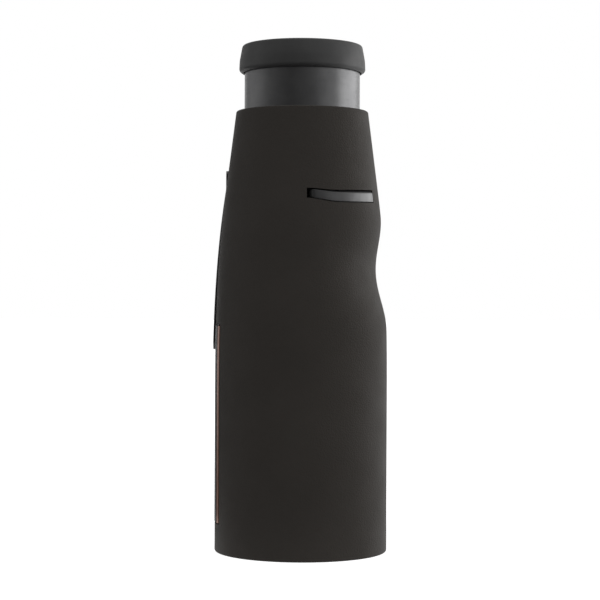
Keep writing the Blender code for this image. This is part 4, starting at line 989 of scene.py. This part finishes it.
def make_diopter():
    """Knurled ring with a scale cut into its face."""
    low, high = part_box("diopter_ring")
    radius = box_radius("diopter_ring")
    bore = DIOPTER_BORE_RADIUS
    corners = [(radius, low.z, 0.0002), (bore, low.z, 0), (bore, high.z - DIOPTER_FLARE, 0.0002)]
    corners += [(bore + DIOPTER_FLARE, high.z, 0.0002), (radius, high.z, 0.0003)]

    def knurl(angle, r, z):
        on_rim = r > radius - 0.0001
        return -DIOPTER_KNURL_DEPTH * max(0.0, math.cos(DIOPTER_KNURLS * angle)) if on_rim else 0.0

    dial = lathe("diopter_dial", soften(corners), VIEW_AXIS, steps=360, ripple=knurl)
    start = bore + TICK_START
    ticks = []
    for i in range(-4, 5):
        stop = start + (MIDDLE_TICK_LENGTH if i == 0 else TICK_LENGTH)
        first = (start, -TICK_HALF_WIDTH, high.z - TICK_DEPTH)
        tick = block("tick", first, (stop, TICK_HALF_WIDTH, high.z + GAP))
        turn = Matrix.Rotation(math.radians(270 + TICK_ANGLE * i), 4, "Z")
        tick.data.transform(Matrix.Translation(VIEW_AXIS) @ turn)
        ticks.append(tick)
    dress(combine(dial, "DIFFERENCE", ticks), "diopter_ring")


def make_ocular_cell():
    low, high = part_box("ocular_cell")
    outer = box_radius("ocular_cell")
    inner = outer - OCULAR_WALL
    corners = [(outer, low.z, 0), (inner, low.z, 0), (inner, high.z - OCULAR_STEP_DEPTH, 0)]
    corners += [(inner + OCULAR_STEP, high.z, 0.0002), (outer, high.z, 0.0002)]
    dress(lathe("ocular_barrel", soften(corners), VIEW_AXIS), "ocular_cell")


def make_lenses():
    """Lenses with truly round faces, each within its node's own box."""
    # Axis, then how far the lower and the upper face curve back at the edge
    lenses = {
        "objective_front_lens": (VIEW_AXIS, 0.0013, 0.0),
        "receiver_lens": (NEAR_AXIS, 0.0013, 0.0010),
        "emitter_lens": (EMITTER_AXIS, 0.00047, 0.0),
        "eye_lens": (VIEW_AXIS, 0.0014, 0.0014),
    }
    for node, (axis, bulge_low, bulge_high) in lenses.items():
        low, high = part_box(node)
        radius = box_radius(node)
        shares = even(0.0, 1.0, 10)
        profile = [(radius * s, high.z - bulge_high * s * s) for s in shares]
        profile += [(radius * s, low.z + bulge_low * s * s) for s in reversed(shares)]
        dress(lathe(node + "_polished", profile, axis), node)


def make_buttons():
    """Rubber keys: a dished one with a raised rim and one pip, and a domed one with three."""
    for node, radius in BUTTON_RADIUS.items():
        low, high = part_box(node)
        flange, step = radius + BUTTON_FLANGE, low.y + BUTTON_FLANGE
        middle_z = (low.z + high.z) / 2
        top = high.y
        corners = [(0, low.y, 0), (flange, low.y, 0), (flange, step, 0), (radius, step, 0)]
        if node == "range_button":
            corners += [(radius, top - 0.0004, 0.0002), (radius * 0.86, top, 0.0003)]
            corners += [(radius * 0.70, top, 0.0003), (radius * 0.45, top - 0.00035, 0.0005)]
            corners.append((0, top - 0.0004, 0))
        else:
            corners += [(radius, top - 0.0006, 0.0002), (radius * 0.75, top - 0.0003, 0.0005)]
            corners.append((0, top - 0.0002, 0))
        cap = lathe(node + "_cap", soften(corners, closed=False), (0, 0, middle_z), TO_FAR, 72)
        dress(cap, node)
        foot = top - 0.0004
        outline = [(0, foot), (0.00045, foot), (0.0004, top - 0.0001), (0.0002, top), (0, top)]
        for x in (0.0,) if node == "range_button" else (-PIP_STEP, 0.0, PIP_STEP):
            name = f"{node}_pip_{round(x * 1e4)}".replace("-", "m")
            dress(lathe(name, outline, (x, 0, middle_z), TO_FAR, 24), node, replaces=False)


def finish_other_nodes():
    """Gives every CAD node that stays on show its material."""
    for name, node in NODES.items():
        if not node.hide_render:
            node.data.materials.clear()
            node.data.materials.append(MATERIALS[SLOT_OF[name]])


# ---------------------------------------------------------------- floor, light and camera


def backdrop_material(name, colour, glow):
    """Pale matt surface that glows for camera, mirror and glass rays only, so that shadows stay."""
    material, tree, shader = new_material(name, colour, 0.9, specular=0.0)
    seen = seen_rays(tree)
    strength = tree.nodes.new("ShaderNodeMath")
    strength.operation = "MULTIPLY"
    strength.inputs[1].default_value = glow
    tree.links.new(seen, strength.inputs[0])
    shader.inputs["Emission Color"].default_value = (1, 1, 1, 1)
    tree.links.new(strength.outputs["Value"], shader.inputs["Emission Strength"])
    return material


def seen_rays(tree):
    """1 for rays from the camera, off a mirror or through glass."""
    path = tree.nodes.new("ShaderNodeLightPath")
    value = path.outputs["Is Camera Ray"]
    for output in ("Is Glossy Ray", "Is Transmission Ray"):
        either = tree.nodes.new("ShaderNodeMath")
        either.operation = "MAXIMUM"
        tree.links.new(value, either.inputs[0])
        tree.links.new(path.outputs[output], either.inputs[1])
        value = either.outputs["Value"]
    return value


def make_world():
    """Plain light all round, which shows as white."""
    world = bpy.data.worlds.new("studio")
    bpy.context.scene.world = world
    world.use_nodes = True
    tree = world.node_tree
    background = tree.nodes["Background"]
    background.inputs["Color"].default_value = (1, 1, 1, 1)
    level = spread(tree, seen_rays(tree), AMBIENT, 1.0, 0.0, 1.0)
    tree.links.new(level, background.inputs["Strength"])


def make_floor():
    builder = bmesh.new()
    bmesh.ops.create_circle(builder, cap_ends=True, segments=96, radius=FLOOR_RADIUS)
    floor = mesh_object("floor", builder)
    floor.location.z = -FLOOR_AIR
    floor.data.materials.append(backdrop_material("floor_paint", FLOOR_PAINT, FLOOR_GLOW))


def curtain_material():
    """Dim cloth, a little brighter towards both ends of the curtain."""
    material, tree, shader = new_material("curtain_cloth", (0.0, 0.0, 0.0), 1.0, specular=0.0)
    parts = tree.nodes.new("ShaderNodeSeparateXYZ")
    tree.links.new(object_space(tree), parts.inputs["Vector"])
    size = tree.nodes.new("ShaderNodeMath")
    size.operation = "ABSOLUTE"
    tree.links.new(parts.outputs["X"], size.inputs[0])
    strength = spread(tree, size.outputs["Value"], *CURTAIN_LEVELS, 0.0, CURTAIN_RADIUS)
    shader.inputs["Emission Color"].default_value = (1, 1, 1, 1)
    tree.links.new(strength, shader.inputs["Emission Strength"])
    return material


def make_curtain():
    """Curtain, mat and canopy in front of the object. Only mirror rays see them."""
    turns = [math.radians(a - CURTAIN_DARKEST) for a in even(*CURTAIN_AZIMUTHS, 36)]
    profile = [(MAT_INNER_RADIUS, MAT_Z), (CURTAIN_RADIUS, MAT_Z)]
    profile += [(CURTAIN_RADIUS, CURTAIN_HEIGHT), (CANOPY_RADIUS, CURTAIN_HEIGHT)]
    builder = bmesh.new()
    rows = []
    for radius, z in profile:
        rows.append([builder.verts.new((radius * math.sin(a), -radius * math.cos(a), z)) for a in turns])
    for first, second in zip(rows, rows[1:]):
        bridge(builder, first, second, False)
    curtain = mesh_object("front_curtain", builder)
    curtain.rotation_euler.z = math.radians(CURTAIN_DARKEST)
    curtain.data.materials.append(curtain_material())
    curtain.visible_camera = False
    curtain.visible_diffuse = False
    curtain.visible_shadow = False
    curtain.visible_transmission = False


def make_light(name, azimuth, elevation, distance, width, height, power):
    """Soft panel that faces the middle of the object."""
    data = bpy.data.lights.new(name, "AREA")
    data.shape = "RECTANGLE"
    data.size = width
    data.size_y = height
    data.energy = power
    light = bpy.data.objects.new(name, data)
    bpy.context.scene.collection.objects.link(light)
    a, e = math.radians(azimuth), math.radians(elevation)
    away = Vector((math.sin(a) * math.cos(e), -math.cos(a) * math.cos(e), math.sin(e)))
    light.location = Vector((0, 0, BODY_LENGTH / 2)) + away * distance
    light.rotation_euler = away.to_track_quat("Z", "Y").to_euler()


def make_camera():
    data = bpy.data.cameras.new("camera")
    data.sensor_width = 36.0
    data.lens = CAMERA_LENS
    data.clip_start = 0.01
    data.clip_end = 50.0
    camera = bpy.data.objects.new("camera", data)
    bpy.context.scene.collection.objects.link(camera)
    pitch = Matrix.Rotation(math.radians(90.0 - CAMERA_DIP), 4, "X")
    roll = Matrix.Rotation(math.radians(CAMERA_ROLL), 4, "Z")
    camera.matrix_world = Matrix.Translation(CAMERA_PLACE) @ pitch @ roll
    bpy.context.scene.camera = camera


def make_studio():
    bpy.context.scene.view_settings.view_transform = "Standard"
    make_world()
    make_floor()
    make_curtain()
    for panel in PANELS:
        make_light(*panel)


make_armor()
make_side_panel()
make_front_bezel()
make_rear_cover()
make_screws()
make_battery_cap()
make_strap_bar()
make_clip()
make_eyecup()
make_diopter()
make_ocular_cell()
make_lenses()
make_buttons()
finish_other_nodes()
make_studio()
make_camera()
